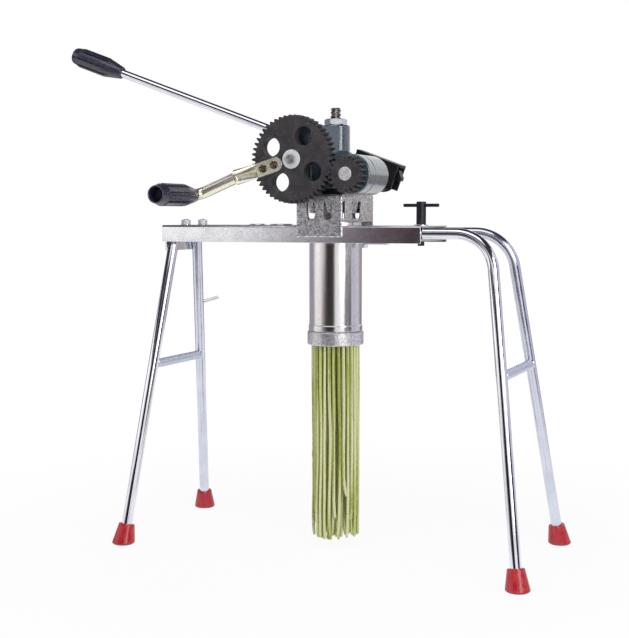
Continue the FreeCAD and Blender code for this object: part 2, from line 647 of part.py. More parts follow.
# -------------------------------------------------------------------- the bench
def bench_channel():
    """A sheet channel, open below, with the barrel's hole and its two notches."""
    outline = [
        ("-bench_half", "bench_bottom"), ("-bench_half", "bench_top"),
        ("bench_half", "bench_top"), ("bench_half", "bench_bottom"),
        ("bench_inner_half", "bench_bottom"), ("bench_inner_half", "bench_under"),
        ("-bench_inner_half", "bench_under"), ("-bench_inner_half", "bench_bottom"),
    ]
    channel = padded("bench_fold", "YZ_Plane", outline, "bench_length", x="bench_left")
    doc.recompute()
    pad = channel.Tip
    long_edges = [
        f"Edge{number}" for number, edge in enumerate(pad.Shape.Edges, 1)
        if abs(edge.Length - size("bench_length")) < CLOSE
        and abs(edge.CenterOfMass.z - size("bench_top")) < CLOSE
    ]
    rounding = channel.newObject("PartDesign::Fillet", "bench_corners")
    rounding.Base = (pad, long_edges)
    bind(rounding, Radius="bench_corner")
    rims = []
    for hole, x in (("large", "-sheet_hole_near"), ("small", "-sheet_hole_far")):
        rims.append(cylinder(f"sheet_rim_{hole}", f"sheet_hole_{hole} / 2 + sheet_rim_wall",
                             "bench_wall / 2 + sheet_rim_rise", x, "sheet_hole_back",
                             "bench_top - bench_wall / 2"))
    through = "bench_wall + sheet_rim_rise + 2 * overshoot"
    low = "bench_under - overshoot"
    play = "(lug_width + 2 * lug_play)"
    tools = [
        cylinder("barrel_hole_tool", "barrel_hole", through, z=low),
        box("lug_notch_tool", "2 * (lug_reach + lug_play)", play, through,
            "-(lug_reach + lug_play)", "-" + play + " / 2", low),
        cylinder("sheet_hole_large_tool", "sheet_hole_large / 2", through,
                 "-sheet_hole_near", "sheet_hole_back", low),
        cylinder("sheet_hole_small_tool", "sheet_hole_small / 2", through,
                 "-sheet_hole_far", "sheet_hole_back", low),
        cylinder("clamp_hole_tool", "clamp_screw_dia / 2 + bolt_play", through,
                 "clamp_x", "0", low),
    ]
    for side, sign in (("front", "-"), ("rear", "")):
        tools.append(cylinder(f"frame_bolt_{side}_tool", "bolt_hole", through,
                              "frame_bolt_x", sign + "frame_bolt_half", low))
    sub_part("bench_channel", cut("bench_pierced", fuse("bench_blank", channel, *rims), *tools))


# --------------------------------------------------------------------- the legs
def leg_ends(sign):
    """Foot and upper end of a left leg; sign is -1 in front and 1 behind."""
    foot = FreeCAD.Vector(size("left_foot_x"), sign * size("left_foot_half"), 0)
    top = FreeCAD.Vector(size("left_top_x"), sign * size("left_top_half"), size("left_leg_top"))
    return foot, top


def right_leg_points(sign):
    """Inner end, corner and floor point of a right leg's axis."""
    across = sign * size("right_half")
    level = size("right_leg_top")
    inner = FreeCAD.Vector(size("right_end_x"), across, level)
    corner = FreeCAD.Vector(size("right_corner_x"), across, level)
    foot = FreeCAD.Vector(size("right_foot_x"), sign * size("right_foot_half"), 0)
    return inner, corner, foot


def at_height(foot, top, height):
    """The point of a leg's axis at a height."""
    return foot + (top - foot) * ((height - foot.z) / (top.z - foot.z))


def rubber_foot(foot, top):
    """A cone along the leg, cut flat at the floor, with a bore for the tube."""
    along = (top - foot).normalize()
    low, high = size("foot_floor_dia") / 2, size("foot_top_dia") / 2
    height, lip = size("foot_height"), size("foot_lip")
    spare = low
    taper = (low - high) / height
    body = Part.makeCone(low + taper * spare, high, height + spare, foot - along * spare, along)
    reach = 3 * low
    block = Part.makeBox(2 * reach, 2 * reach, 2 * reach, foot - FreeCAD.Vector(reach, reach, 0))
    skirt = Part.makeCone(low - lip, low + 2 * lip, 3 * lip, foot, Z_AXIS)
    skirt = skirt.fuse(Part.makeCylinder(3 * low, 2 * reach, foot + Z_AXIS * 2 * lip, Z_AXIS))
    body = body.common(block).common(skirt)
    seat = at_height(foot, top, size("foot_sole"))
    return body.cut(rod_between(seat, top, size("leg_radius"))).removeSplitter()


def hollow(points, bend=None):
    """A leg tube along straight or bent runs."""
    outer, inner = size("leg_radius"), size("leg_radius - leg_wall")
    if bend is None:
        return rod_between(*points, outer).cut(rod_between(*points, inner))
    return bent_bar(points, outer, bend).cut(bent_bar(points, inner, bend))


def brace(legs, height):
    """A tube between two legs, coped to both."""
    front, rear = (at_height(foot, top, height) for foot, top in legs)
    bar = rod_between(front, rear, size("brace_dia / 2"))
    for foot, top in legs:
        bar = bar.cut(rod_between(foot, top, size("leg_radius")))
    pieces = sorted(bar.Solids, key=lambda solid: solid.Volume)
    return pieces[-1]


def left_legs():
    legs = []
    feet = []
    for side, sign in (("front", -1), ("rear", 1)):
        foot, top = leg_ends(sign)
        legs.append((foot, top))
        seat = at_height(foot, top, size("foot_sole"))
        sub_part(f"left_leg_{side}", shaped(f"left_leg_{side}", hollow((seat, top))))
        feet.append(rubber_foot(foot, top))
    sub_part("left_brace", shaped("left_brace", brace(legs, size("left_brace_height"))))
    sub_part("left_feet", shaped("left_feet", Part.makeCompound(feet)))
    foot, top = legs[1]
    root = at_height(foot, top, size("peg_height"))
    tip = root + FreeCAD.Vector(0, size("peg_length + leg_radius"), size("peg_rise"))
    peg = rod_between(root, tip, size("peg_dia / 2"))
    peg = peg.cut(rod_between(foot, top, size("leg_radius")))
    sub_part("hanging_peg", shaped("hanging_peg", peg.Solids[-1]))


def left_cross_plate():
    """An angle under the bench sheet, coped round the legs welded to it."""
    length = "2 * cross_half"
    upright = box("cross_upright", "cross_wall", length, "cross_drop",
                  "cross_face", "-cross_half", "bench_under - cross_drop")
    level = box("cross_level", "cross_leaf", length, "cross_wall",
                "cross_face", "-cross_half", "bench_under - cross_wall")
    tools = []
    for side, sign in (("front", "-"), ("rear", "")):
        tools.append(cylinder(f"cross_hole_{side}", "bolt_hole", "cross_wall + 2 * overshoot",
                              "frame_bolt_x", sign + "frame_bolt_half",
                              "bench_under - cross_wall - overshoot"))
    for side, sign in (("front", -1), ("rear", 1)):
        foot, top = leg_ends(sign)
        tools.append(shaped(f"cross_cope_{side}", rod_between(foot, top, size("leg_radius"))))
    sub_part("left_cross_plate", cut("cross_plate", fuse("cross_angle", upright, level), *tools))


def left_frame_bolts():
    """Two M8 bolts from below, each with a washer and a nut on the bench."""
    corners_to_front = FreeCAD.Rotation(Z_AXIS, 30)
    under = "bench_under - cross_wall"
    bolts = []
    for side, sign in (("front", "-"), ("rear", "")):
        place = ("frame_bolt_x", sign + "frame_bolt_half")
        bolts.append(fuse(
            f"frame_bolt_{side}",
            hexagon(f"frame_head_{side}", "bolt_flats", "bolt_head",
                    *place, under + " - bolt_head", corners_to_front),
            cylinder(f"frame_shank_{side}", "bolt_dia / 2",
                     "bench_wall + cross_wall + frame_washer_wall + nut_height + frame_bolt_tail",
                     *place, under),
            cylinder(f"frame_washer_{side}", "frame_washer_dia / 2", "frame_washer_wall",
                     *place, "bench_top"),
            hexagon(f"frame_nut_{side}", "bolt_flats", "nut_height",
                    *place, "bench_top + frame_washer_wall", corners_to_front),
        ))
    sub_part("left_frame_bolts", group("left_frame_bolts", *bolts))


def right_legs():
    """Two bent tubes that slide in the bench, with their brace and feet."""
    bend = size("right_bend")
    legs = []
    feet = []
    for side, sign in (("front", -1), ("rear", 1)):
        inner, corner, foot = right_leg_points(sign)
        legs.append((foot, corner))
        seat = at_height(foot, corner, size("foot_sole"))
        tube = hollow((inner, corner, seat), bend)
        sub_part(f"right_leg_{side}", shaped(f"right_leg_{side}", tube))
        feet.append(rubber_foot(foot, corner))
    sub_part("right_brace", shaped("right_brace", brace(legs, size("right_brace_height"))))
    sub_part("right_feet", shaped("right_feet", Part.makeCompound(feet)))


# -------------------------------------------------------------------- the clamp
def leg_clamp():
    """The strap under the right legs and the screw that draws it up."""
    screw_radius = "clamp_screw_dia / 2"
    strap = box("strap_bar", "2 * strap_half", "2 * bench_inner_half", "strap_wall",
                "strap_centre - strap_half", "-bench_inner_half", "strap_bottom")
    tapped = cylinder("strap_hole", screw_radius + " + pin_gap", "strap_wall + 2 * overshoot",
                      "clamp_x", "0", "strap_bottom - overshoot")
    left_part = box("strap_tab", "strap_half", "4 * strap_half", "strap_wall",
                    "clamp_x - strap_half", "-2 * strap_half", "strap_bottom")
    sub_part("clamp_strap", cut("strap_tapped", fuse("strap_blank", strap, left_part), tapped))
    ring = cylinder("washer_disc", "clamp_washer_dia / 2", "clamp_washer_wall",
                    "clamp_x", "0", "bench_top")
    hole = cylinder("washer_hole", screw_radius + " + pin_gap", "clamp_washer_wall + 2 * overshoot",
                    "clamp_x", "0", "bench_top - overshoot")
    sub_part("clamp_washer", cut("clamp_washer_ring", ring, hole))
    seat = "bench_top + clamp_washer_wall"
    bar_height = seat + " + clamp_head_height - tommy_drop"
    screw = fuse(
        "clamp_screw_blank",
        cylinder("clamp_thread", screw_radius, f"({seat}) - bench_bottom + clamp_tail",
                 "clamp_x", "0", "bench_bottom - clamp_tail"),
        cylinder("clamp_head", "clamp_head_dia / 2", "clamp_head_height", "clamp_x", "0", seat),
    )
    drilled = cylinder("tommy_hole", "tommy_dia / 2", "clamp_head_dia + 2 * overshoot",
                       "clamp_x - clamp_head_dia / 2 - overshoot", "0", bar_height, ALONG_X)
    sub_part("clamp_screw", cut("clamp_screw_drilled", screw, drilled))
    bar = cylinder("tommy_rod", "tommy_dia / 2", "tommy_length",
                   "clamp_x - tommy_length / 2", "0", bar_height, ALONG_X)
    sub_part("clamp_bar", bar)


def barrel_catch():
    """A turn-button on a post under the bench; it can close a notch of the barrel's hole."""
    pivot = ("catch_reach", "-catch_front")
    post = turned("catch_post", [
        ("0", "catch_floor - bolt_head"),
        ("bolt_flats / 2 - 1.5 * small_edge", "catch_floor - bolt_head"),
        ("bolt_flats / 2", "catch_floor - catch_play"), ("bolt_dia / 2", "catch_floor - catch_play"),
        ("bolt_dia / 2", "catch_top + catch_play"), ("post_dia / 2", "catch_top + catch_play"),
        ("post_dia / 2", "bench_under"), ("0", "bench_under"),
    ], *pivot)
    sub_part("catch_post", post)
    plate = fuse(
        "catch_blank",
        box("catch_bar", "catch_length", "catch_width", "catch_wall",
            "catch_reach", "-catch_front - catch_width / 2", "catch_floor"),
        cylinder("catch_eye", "catch_width / 2", "catch_wall", *pivot, "catch_floor"),
    )
    hole = cylinder("catch_hole", "bolt_dia / 2 + pin_gap", "catch_wall + 2 * overshoot",
                    *pivot, "catch_floor - overshoot")
    sub_part("barrel_catch", cut("catch_plate", plate, hole))


# ------------------------------------------------------------- barrel and piston
def barrel():
    """A tube with a rolled bead, hung in the bench on two lugs."""
    wall = [
        ("barrel_bore", "die_top"), ("barrel_radius", "die_top"),
        ("barrel_radius", "die_top + bead_low"),
        ("barrel_radius + bead_rise", "die_top + bead_low + bead_rise"),
        ("barrel_radius + bead_rise", "die_top + bead_high - bead_rise"),
        ("barrel_radius", "die_top + bead_high"),
        ("barrel_radius", "barrel_top"), ("barrel_bore", "barrel_top"),
    ]
    tube = turned("barrel_tube", wall)
    ring = cylinder("lug_ring", "lug_reach", "lug_height", z="bench_top")
    bar = box("lug_bar", "lug_width", "2 * lug_reach", "lug_height",
              "-lug_width / 2", "-lug_reach", "bench_top")
    lugs = add("Part::Common", "lug_pair")
    lugs.Base = ring
    lugs.Tool = bar
    clear = cylinder("lug_bore", "barrel_bore", "lug_height + 2 * overshoot", z="bench_top - overshoot")
    sub_part("barrel", cut("barrel_lugged", fuse("barrel_blank", tube, lugs), clear))


def die_cap():
    points = [
        ("cap_mouth / 2", "cap_floor"),
        ("cap_bore + cap_wall - cap_edge", "cap_floor"),
        ("cap_bore + cap_wall", "cap_floor + cap_edge"),
        ("cap_bore + cap_wall", "cap_floor + cap_height - cap_edge"),
        ("cap_bore + cap_wall - cap_edge", "cap_floor + cap_height"),
        ("cap_bore", "cap_floor + cap_height"),
        ("cap_bore", "die_floor"), ("cap_mouth / 2", "die_floor"),
    ]
    sub_part("die_cap", turned("die_cap", points))


def die_disc():
    """A disc with one central hole and rings of holes round it."""
    disc = cylinder("die_blank", "die_dia / 2", "die_wall", z="die_floor")
    hole = ("die_hole / 2", "die_wall + 2 * overshoot")
    tools = [cylinder("die_hole_centre", *hole, z="die_floor - overshoot")]
    for ring in range(1, int(size("die_rings")) + 1):
        seed = cylinder(f"die_hole_{ring}", *hole, f"{ring} * die_pitch", "0", "die_floor - overshoot")
        tools.append(spun(f"die_ring_{ring}", seed, 6 * ring))
    sub_part("die_disc", cut("die_pierced", disc, *tools))


def noodle_bundle():
    """The hanging noodles as one soft body: a neck that widens to a long bundle."""
    points = [
        ("0", "strand_floor"), ("strand_waist / 2 - strand_narrowing", "strand_floor"),
        ("strand_waist / 2", "strand_floor + strand_ends"),
        ("strand_waist / 2", "die_floor - strand_swell"),
        ("strand_neck / 2", "die_floor - strand_cuff"), ("strand_neck / 2", "die_floor"),
        ("0", "die_floor"),
    ]
    sub_part("noodle_bundle", turned("noodle_bundle", points))


def piston():
    groove = "piston_floor + seal_low"
    body = [
        ("0", "piston_floor"), ("piston_radius - small_edge", "piston_floor"),
        ("piston_radius", "piston_floor + small_edge"), ("piston_radius", groove),
        ("seal_radius - seal_depth", groove),
        ("seal_radius - seal_depth", groove + " + seal_height"),
        ("piston_radius", groove + " + seal_height"), ("piston_radius", "piston_top"),
        ("piston_hub / 2", "piston_top"), ("piston_hub / 2", "piston_top + piston_hub_rise"),
        ("screw_dia / 2", "piston_top + piston_hub_rise"), ("screw_dia / 2", "screw_floor"),
        ("0", "screw_floor"),
    ]
    sub_part("piston", turned("piston", body))
    ring = [
        ("seal_radius - seal_depth", groove), ("seal_radius", groove),
        ("seal_radius", groove + " + seal_height"),
        ("seal_radius - seal_depth", groove + " + seal_height"),
    ]
    sub_part("piston_seal", turned("piston_seal", ring))


def lead_screw():
    """The screw that pushes the piston, with a keyway down its side."""
    edge = "1.5 * small_edge"
    rod = turned("screw_rod", [
        ("0", "screw_floor"), ("screw_dia / 2", "screw_floor"),
        ("screw_dia / 2", f"screw_top - {edge}"), (f"screw_dia / 2 - {edge}", "screw_top"),
        ("0", "screw_top"),
    ])
    way = box("keyway_tool", "keyway_width", "screw_dia", "screw_top - piston_top - piston_hub_rise",
              "-keyway_width / 2", "-screw_dia - screw_dia / 2 + keyway_depth",
              "piston_top + piston_hub_rise + overshoot")
    turn = group("keyway_turned", way)
    turn.Placement = FreeCAD.Placement(ORIGIN, FreeCAD.Rotation(Z_AXIS, size("keyway_turn")))
    turn.setExpression("Placement.Rotation.Angle", formula("keyway_turn"))
    sub_part("lead_screw", cut("lead_screw", rod, turn))


# ----------------------------------------------------------------- head bracket
def head_bracket():
    """A folded saddle with slotted aprons, side walls and pressed tongues."""
    outer, inner = "bracket_half_width", "bench_half"
    low = "bench_top - bracket_apron"
    outline = [
        ("-" + outer, low), ("-" + outer, "bracket_top"), (outer, "bracket_top"), (outer, low),
        (inner, low), (inner, "bracket_ceiling"), ("-" + inner, "bracket_ceiling"), ("-" + inner, low),
    ]
    saddle = padded("saddle", "YZ_Plane", outline, "bracket_length", x="-bracket_half")
    doc.recompute()
    pad = saddle.Tip
    bends = [
        f"Edge{number}" for number, edge in enumerate(pad.Shape.Edges, 1)
        if abs(edge.Length - size("bracket_length")) < CLOSE
        and abs(edge.CenterOfMass.z - size("bracket_top")) < CLOSE
    ]
    rounding = saddle.newObject("PartDesign::Fillet", "saddle_bends")
    rounding.Base = (pad, bends)
    bind(rounding, Radius="bracket_bend")
    pieces = [saddle]
    slots = []
    wall_height = "bracket_ceiling - ledge_floor"
    for side, place in (("left", "-bracket_half"), ("right", "bracket_half - bracket_wall")):
        pieces.append(box(f"side_wall_{side}", "bracket_wall", "2 * bench_half", wall_height,
                          place, "-bench_half", "ledge_floor"))
        slots += side_window(side, place + " - overshoot")
    for side, place in (("left", "-bracket_half"), ("right", "bracket_half - bracket_ledge")):
        pieces.append(box(f"ledge_{side}", "bracket_ledge", "2 * bench_half", "bracket_wall",
                          place, "-bench_half", "ledge_floor"))
    straight = "slot_length - slot_width"
    for side, x in (("left", "-slot_spread"), ("right", "slot_spread")):
        tall = "2 * bracket_half_width + 2 * overshoot"
        start = "-bracket_half_width - overshoot"
        middle = "bench_top + slot_centre"
        slots.append(box(f"slot_{side}", "slot_width", tall, straight,
                         x + " - slot_width / 2", start, f"{middle} - ({straight}) / 2"))
        for end, sign in (("low", "-"), ("high", "+")):
            slots.append(cylinder(f"slot_{side}_{end}", "slot_width / 2", tall, x, start,
                                  f"{middle} {sign} ({straight}) / 2", ALONG_Y))
    slots.append(cylinder("bracket_bore_tool", "bracket_bore / 2", "bracket_wall + 2 * overshoot",
                          z="bracket_ceiling - overshoot"))
    slots += four_holes("bracket_bolt", "bolt_hole", "bracket_wall + 2 * overshoot",
                        "bracket_ceiling - overshoot")
    pierced = cut("saddle_pierced", fuse("saddle_blank", *pieces), *slots)
    tongues = []
    slot_top = "bench_top + slot_centre + slot_length / 2 - tongue_bite"
    for face, y, facing in (("front", "-bench_half", 180), ("rear", "bench_half", 0)):
        for side, x in (("left", "-slot_spread"), ("right", "slot_spread")):
            tongues.append(tongue(f"tongue_{face}_{side}", x, y, slot_top, facing, "tongue_width"))
    window_top = "bench_top + slot_centre + window_height / 2 + tongue_root"
    inner_face = "bracket_half - bracket_wall"
    for side, x, facing in (("left", f"-({inner_face})", 90), ("right", inner_face, -90)):
        tongues.append(tongue("tongue_" + side, x, "-window_shift", window_top, facing,
                              "window_tongue"))
    sub_part("head_bracket", fuse("head_bracket", pierced, *tongues))


def side_window(side, x):
    """A side wall's two openings: a wide one rounded below, and a slit by the front apron."""
    through = "bracket_wall + 2 * overshoot"
    bottom = "bench_top + slot_centre - window_height / 2"
    front = "-window_shift - window_width / 2"
    tools = [
        box(f"window_{side}", through, "window_width", "window_height - window_corner",
            x, front, bottom + " + window_corner"),
        box(f"window_{side}_sill", through, "window_width - 2 * window_corner", "window_height",
            x, front + " + window_corner", bottom),
        box(f"window_{side}_slit", through, "window_slit", "window_height",
            x, "-window_slit_shift - window_slit / 2", bottom),
    ]
    for end, y in (("front", front + " + window_corner"),
                   ("rear", front + " + window_width - window_corner")):
        tools.append(cylinder(f"window_{side}_{end}", "window_corner", through,
                              x, y, bottom + " + window_corner", ALONG_X))
    return tools


def tongue(name, x, y, top, facing, width):
    """A strip left hanging from an opening's upper edge and pressed inwards.

    facing turns it about Z, in degrees, from the rear apron's direction.
    """
    strip = box(name, width, "tongue_wall", "tongue_length",
                f"-{width} / 2", "0", "-tongue_length")
    lean = FreeCAD.Rotation(X_AXIS, -size("tongue_lean_turn"))
    turn = FreeCAD.Rotation(Z_AXIS, facing)
    return put(group(name + "_bent", strip), x, y, top, turn.multiply(lean))


def four_holes(name, radius, height, z):
    """Four upright cylinders on the housing's bolt pattern."""
    places = [(a, b) for a in ("-base_bolt_x", "base_bolt_x") for b in ("-base_bolt_y", "base_bolt_y")]
    return [
        cylinder(f"{name}_{number}", radius, height, x, y, z)
        for number, (x, y) in enumerate(places, 1)
    ]


def base_plate():
    plate = box("base_slab", "2 * base_half_length", "2 * base_half_width", "base_wall",
                "-base_half_length", "-base_half_width", "bracket_top")
    tools = four_holes("base_hole", "bolt_hole", "base_wall + 2 * overshoot", "bracket_top - overshoot")
    tools.append(cylinder("base_screw_hole", "base_bore / 2", "base_wall + 2 * overshoot",
                          z="bracket_top - overshoot"))
    sub_part("base_plate", cut("base_plate", plate, *tools))


def housing_bolts():
    """Four M8 bolts from inside the bracket into the casting's foot."""
    grip = "bracket_wall + base_wall + base_bolt_grip"
    shanks = four_holes("housing_shank", "bolt_dia / 2", grip, "bracket_ceiling")
    bolts = []
    for number, shank in enumerate(shanks, 1):
        head = hexagon(f"housing_head_{number}", "bolt_flats", "bolt_head")
        for axis in "xy":
            head.setExpression("Placement.Base." + axis, f"{shank.Name}.Placement.Base.{axis}")
        head.setExpression("Placement.Base.z", formula("bracket_ceiling - bolt_head"))
        bolts.append(fuse(f"housing_bolt_{number}", shank, head))
    sub_part("housing_bolts", group("housing_bolts", *bolts))


# --------------------------------------------------------------- the gear housing
def gear_housing():
    """The casting: foot, wheel chamber, tower, worm boss with neck, gear arm."""
    chamber_radius, tower_radius = "chamber_dia / 2", "tower_dia / 2"
    outer = turned("housing_trunk", [
        ("0", "base_top"), (chamber_radius, "base_top"), (chamber_radius, "shoulder_floor"),
        (tower_radius, "shoulder_top"), (tower_radius, "tower_top - tower_edge"),
        (tower_radius + " - tower_edge", "tower_top"), ("0", "tower_top"),
    ])
    foot = box("housing_foot", "2 * base_half_length", "2 * base_half_width", "casting_foot",
               "-base_half_length", "-base_half_width", "base_top")
    boss = cylinder("housing_boss", "boss_radius", "boss_joint + boss_back",
                    "worm_x", "-boss_joint", "worm_z", ALONG_Y)
    neck = cylinder("housing_neck", "neck_dia / 2", "neck_back",
                    "worm_x", "0", "worm_z", ALONG_Y)
    arm = padded("housing_arm", "XY_Plane", [
        ("-arm_left", "-arm_front"), ("-arm_left / 4", "-arm_front"),
        ("tower_dia / 3", "-tower_dia / 3"), ("-tower_dia / 3", "tower_dia / 3"),
        ("-arm_left", "-arm_front / 2"),
    ], "arm_height", z="base_top")
    solid = fuse("housing_solid", outer, foot, boss, neck, arm)
    cavity = turned("housing_cavity", [
        ("0", "base_top - overshoot"), ("chamber_bore", "base_top - overshoot"),
        ("chamber_bore", "ceiling"),
        ("nut_dia / 2 + pin_gap", "ceiling"), ("nut_dia / 2 + pin_gap", "nut_top + running_gap"),
        ("screw_dia / 2 + running_gap", "nut_top + running_gap"),
        ("screw_dia / 2 + running_gap", "tower_top - tower_nut_spigot"),
        ("tower_nut_thread / 2", "tower_top - tower_nut_spigot"),
        ("tower_nut_thread / 2", "tower_top + overshoot"), ("0", "tower_top + overshoot"),
    ])
    tools = [
        cavity,
        cylinder("worm_bore_tool", "worm_bore / 2", "boss_joint + worm_bore_back + overshoot",
                 "worm_x", "-boss_joint - overshoot", "worm_z", ALONG_Y),
        cylinder("rear_bush_tool", "bush_radius", "neck_back + overshoot",
                 "worm_x", "0", "worm_z", ALONG_Y),
        cylinder("stud_tool", "stud_root / 2", "stud_root_length + overshoot",
                 "gear_x", "-arm_front - overshoot", "gear_z", ALONG_Y),
        cylinder("cap_relief_tool", "boss_radius + running_gap", "base_half_width",
                 "worm_x", "-boss_joint - base_half_width", "worm_z", ALONG_Y),
    ]
    tools += four_holes("housing_hole", "bolt_dia / 2", "base_bolt_grip + overshoot",
                        "base_top - overshoot")
    sub_part("gear_housing", cut("gear_housing", solid, *tools))


def front_bearing_cap():
    """A round cap with a spigot that closes the worm's bore and holds a bush."""
    radius = "boss_radius"
    groove = "joint_groove"
    points = [
        ("bush_radius", "0"), (radius + " - 1.5 * small_edge", "0"), (radius, "1.5 * small_edge"),
        (radius, f"boss_front - boss_joint - {groove}"),
        (f"{radius} - {groove}", f"boss_front - boss_joint - {groove}"),
        (f"{radius} - {groove}", "boss_front - boss_joint"),
        ("worm_bore / 2", "boss_front - boss_joint"),
        ("worm_bore / 2", "boss_front - boss_joint + spigot_length"),
        ("bush_radius", "boss_front - boss_joint + spigot_length"),
    ]
    cap = turned("front_bearing_cap", points, "worm_x", "-boss_front", "worm_z", ALONG_Y)
    sub_part("front_bearing_cap", cap)


def ring(name, outer, inner, wall, x, y, z, turn=None):
    disc = cylinder(name + "_disc", outer, wall)
    hole = cylinder(name + "_hole", inner, f"({wall}) + 2 * overshoot", z="-overshoot")
    return put(cut(name, disc, hole), x, y, z, turn)


def worm_bearings():
    """Bushes and thrust washers of the worm shaft, thrust rings of the wheel."""
    bore = "shaft_dia / 2 + pin_gap"
    front = ring("front_bush", "bush_radius", bore, "boss_front - boss_joint + spigot_length",
                 "worm_x", "-boss_front", "worm_z", ALONG_Y)
    sub_part("front_bush", front)
    rear = ring("rear_bush", "bush_radius", bore, "neck_back - worm_bore_back",
                "worm_x", "worm_bore_back", "worm_z", ALONG_Y)
    sub_part("rear_bush", rear)
    washers = [
        ring("front_thrust", "worm_bore / 2 - running_gap", bore, "thrust_wall",
             "worm_x", "-boss_joint + spigot_length", "worm_z", ALONG_Y),
        ring("rear_thrust", "bush_radius", bore, "thrust_wall",
             "worm_x", "worm_bore_back - thrust_wall", "worm_z", ALONG_Y),
    ]
    sub_part("thrust_washers", group("thrust_washers", *washers))
    inner = "nut_dia / 2 + running_gap"
    rings = [
        ring("low_ring", "bearing_dia / 2", inner, "bearing_wall", "0", "0", "base_top"),
        ring("high_ring", "bearing_dia / 2", inner, "bearing_wall", "0", "0", "ceiling - bearing_wall"),
    ]
    sub_part("thrust_rings", group("thrust_rings", *rings))


def tower_nut():
    """The hexagon gland on the tower, with the key that stops the screw turning."""
    bore = "screw_dia / 2 + pin_gap"
    blank = fuse(
        "tower_nut_blank",
        hexagon("tower_nut_hex", "tower_nut_flats", "tower_nut_height", z="tower_top",
                turn=FreeCAD.Rotation(Z_AXIS, size("tower_nut_turn"))),
        cylinder("tower_nut_thread_rod", "tower_nut_thread / 2", "tower_nut_spigot",
                 z="tower_top - tower_nut_spigot"),
    )
    hole = cylinder("tower_nut_bore", bore, "tower_nut_height + tower_nut_spigot + 2 * overshoot",
                    z="tower_top - tower_nut_spigot - overshoot")
    inner = "screw_dia / 2 - keyway_depth + key_gap"
    outer = "tower_nut_thread / 2 - key_cover"
    low = "tower_top - tower_nut_spigot"

    def radial(name, width, reach, length, z):
        bar = box(name + "_bar", width, f"{reach} - ({inner})", length,
                  f"-({width}) / 2", "-" + reach, z)
        item = group(name, bar)
        item.Placement = FreeCAD.Placement(ORIGIN, FreeCAD.Rotation(Z_AXIS, size("keyway_turn")))
        item.setExpression("Placement.Rotation.Angle", formula("keyway_turn"))
        return item

    slot = radial("key_slot", "key_width", f"({outer})", "key_length", low)
    sub_part("tower_nut", cut("tower_nut", blank, hole, slot))
    sub_part("guide_key", radial("guide_key", "key_width", f"({outer})", "key_length", low))


# --------------------------------------------------------------------- the gears
def gear_blank(name, teeth, module, wall, shift="0"):
    """An involute spur gear, its first tooth on its own +X axis."""
    wire = fcgear.FCWireBuilder()
    involute.CreateExternalGear(
        wire, size(module), int(size(teeth)), PRESSURE_ANGLE, split=True, addCoeff=1.0,
        dedCoeff=DEDENDUM, filletCoeff=ROOT_FILLET, shiftCoeff=size(shift),
    )
    outline = shaped(name + "_outline", Part.Wire([curve.toShape() for curve in wire.wire]))
    blank = add("Part::Extrusion", name + "_blank")
    blank.Base = outline
    blank.DirMode = "Custom"
    blank.Dir = Z_AXIS
    blank.Solid = True
    bind(blank, LengthFwd=wall)
    return blank


def mesh_turn(teeth, line, gap):
    """Turn that points a tooth (or a gap) of a gear along a line, in degrees."""
    return line + (HALF_TURN / teeth if gap else 0.0)


def drive_gear():
    """The crank gear; its teeth meet the pinion along the line of centres."""
    teeth = size("gear_teeth")
    blank = gear_blank("drive", "gear_teeth", "gear_module", "gear_wall", "gear_shift")
    through = "gear_wall + 2 * overshoot"
    tools = [cylinder("drive_bore", "stud_dia / 2 + gear_bush_wall", through, z="-overshoot")]
    line = -size("gear_line")
    # local X, Y look along world +X, +Z from the front: the gear lies along -Y
    facing = FreeCAD.Rotation(X_AXIS, 90)
    tooth = mesh_turn(teeth, line, False)
    hole = cylinder("drive_window", "gear_hole_dia / 2", through,
                    "gear_hole_reach", "0", "-overshoot")
    windows = spun("drive_windows", hole, 4)
    put(windows, turn=FreeCAD.Rotation(Z_AXIS, size("gear_hole_turn") - tooth))
    tools.append(windows)
    plate_line = HALF_TURN + size("crank_dip_turn")
    for name in ("near", "far"):
        screw = cylinder(f"drive_screw_{name}", "crank_screw_dia / 2", "crank_screw_length + overshoot",
                         "crank_screw_" + name, "0", "gear_wall - crank_screw_length")
        turned_hole = group(f"drive_screw_{name}_turned", screw)
        put(turned_hole, turn=FreeCAD.Rotation(Z_AXIS, plate_line - tooth))
        tools.append(turned_hole)
    gear = cut("drive_gear", blank, *tools)
    put(gear, "gear_x", "-gear_back", "gear_z", facing * FreeCAD.Rotation(Z_AXIS, tooth))
    sub_part("drive_gear", gear)


def pinion():
    teeth = size("pinion_teeth")
    blank = gear_blank("pinion", "pinion_teeth", "gear_module", "pinion_wall", "gear_shift")
    bore = cylinder("pinion_bore", "shaft_dia / 2", "pinion_wall + 2 * overshoot", z="-overshoot")
    gap = mesh_turn(teeth, HALF_TURN - size("gear_line"), True)
    facing = FreeCAD.Rotation(X_AXIS, 90)
    gear = cut("pinion", blank, bore)
    put(gear, "worm_x", "-pinion_back", "worm_z", facing * FreeCAD.Rotation(Z_AXIS, gap))
    sub_part("pinion", gear)


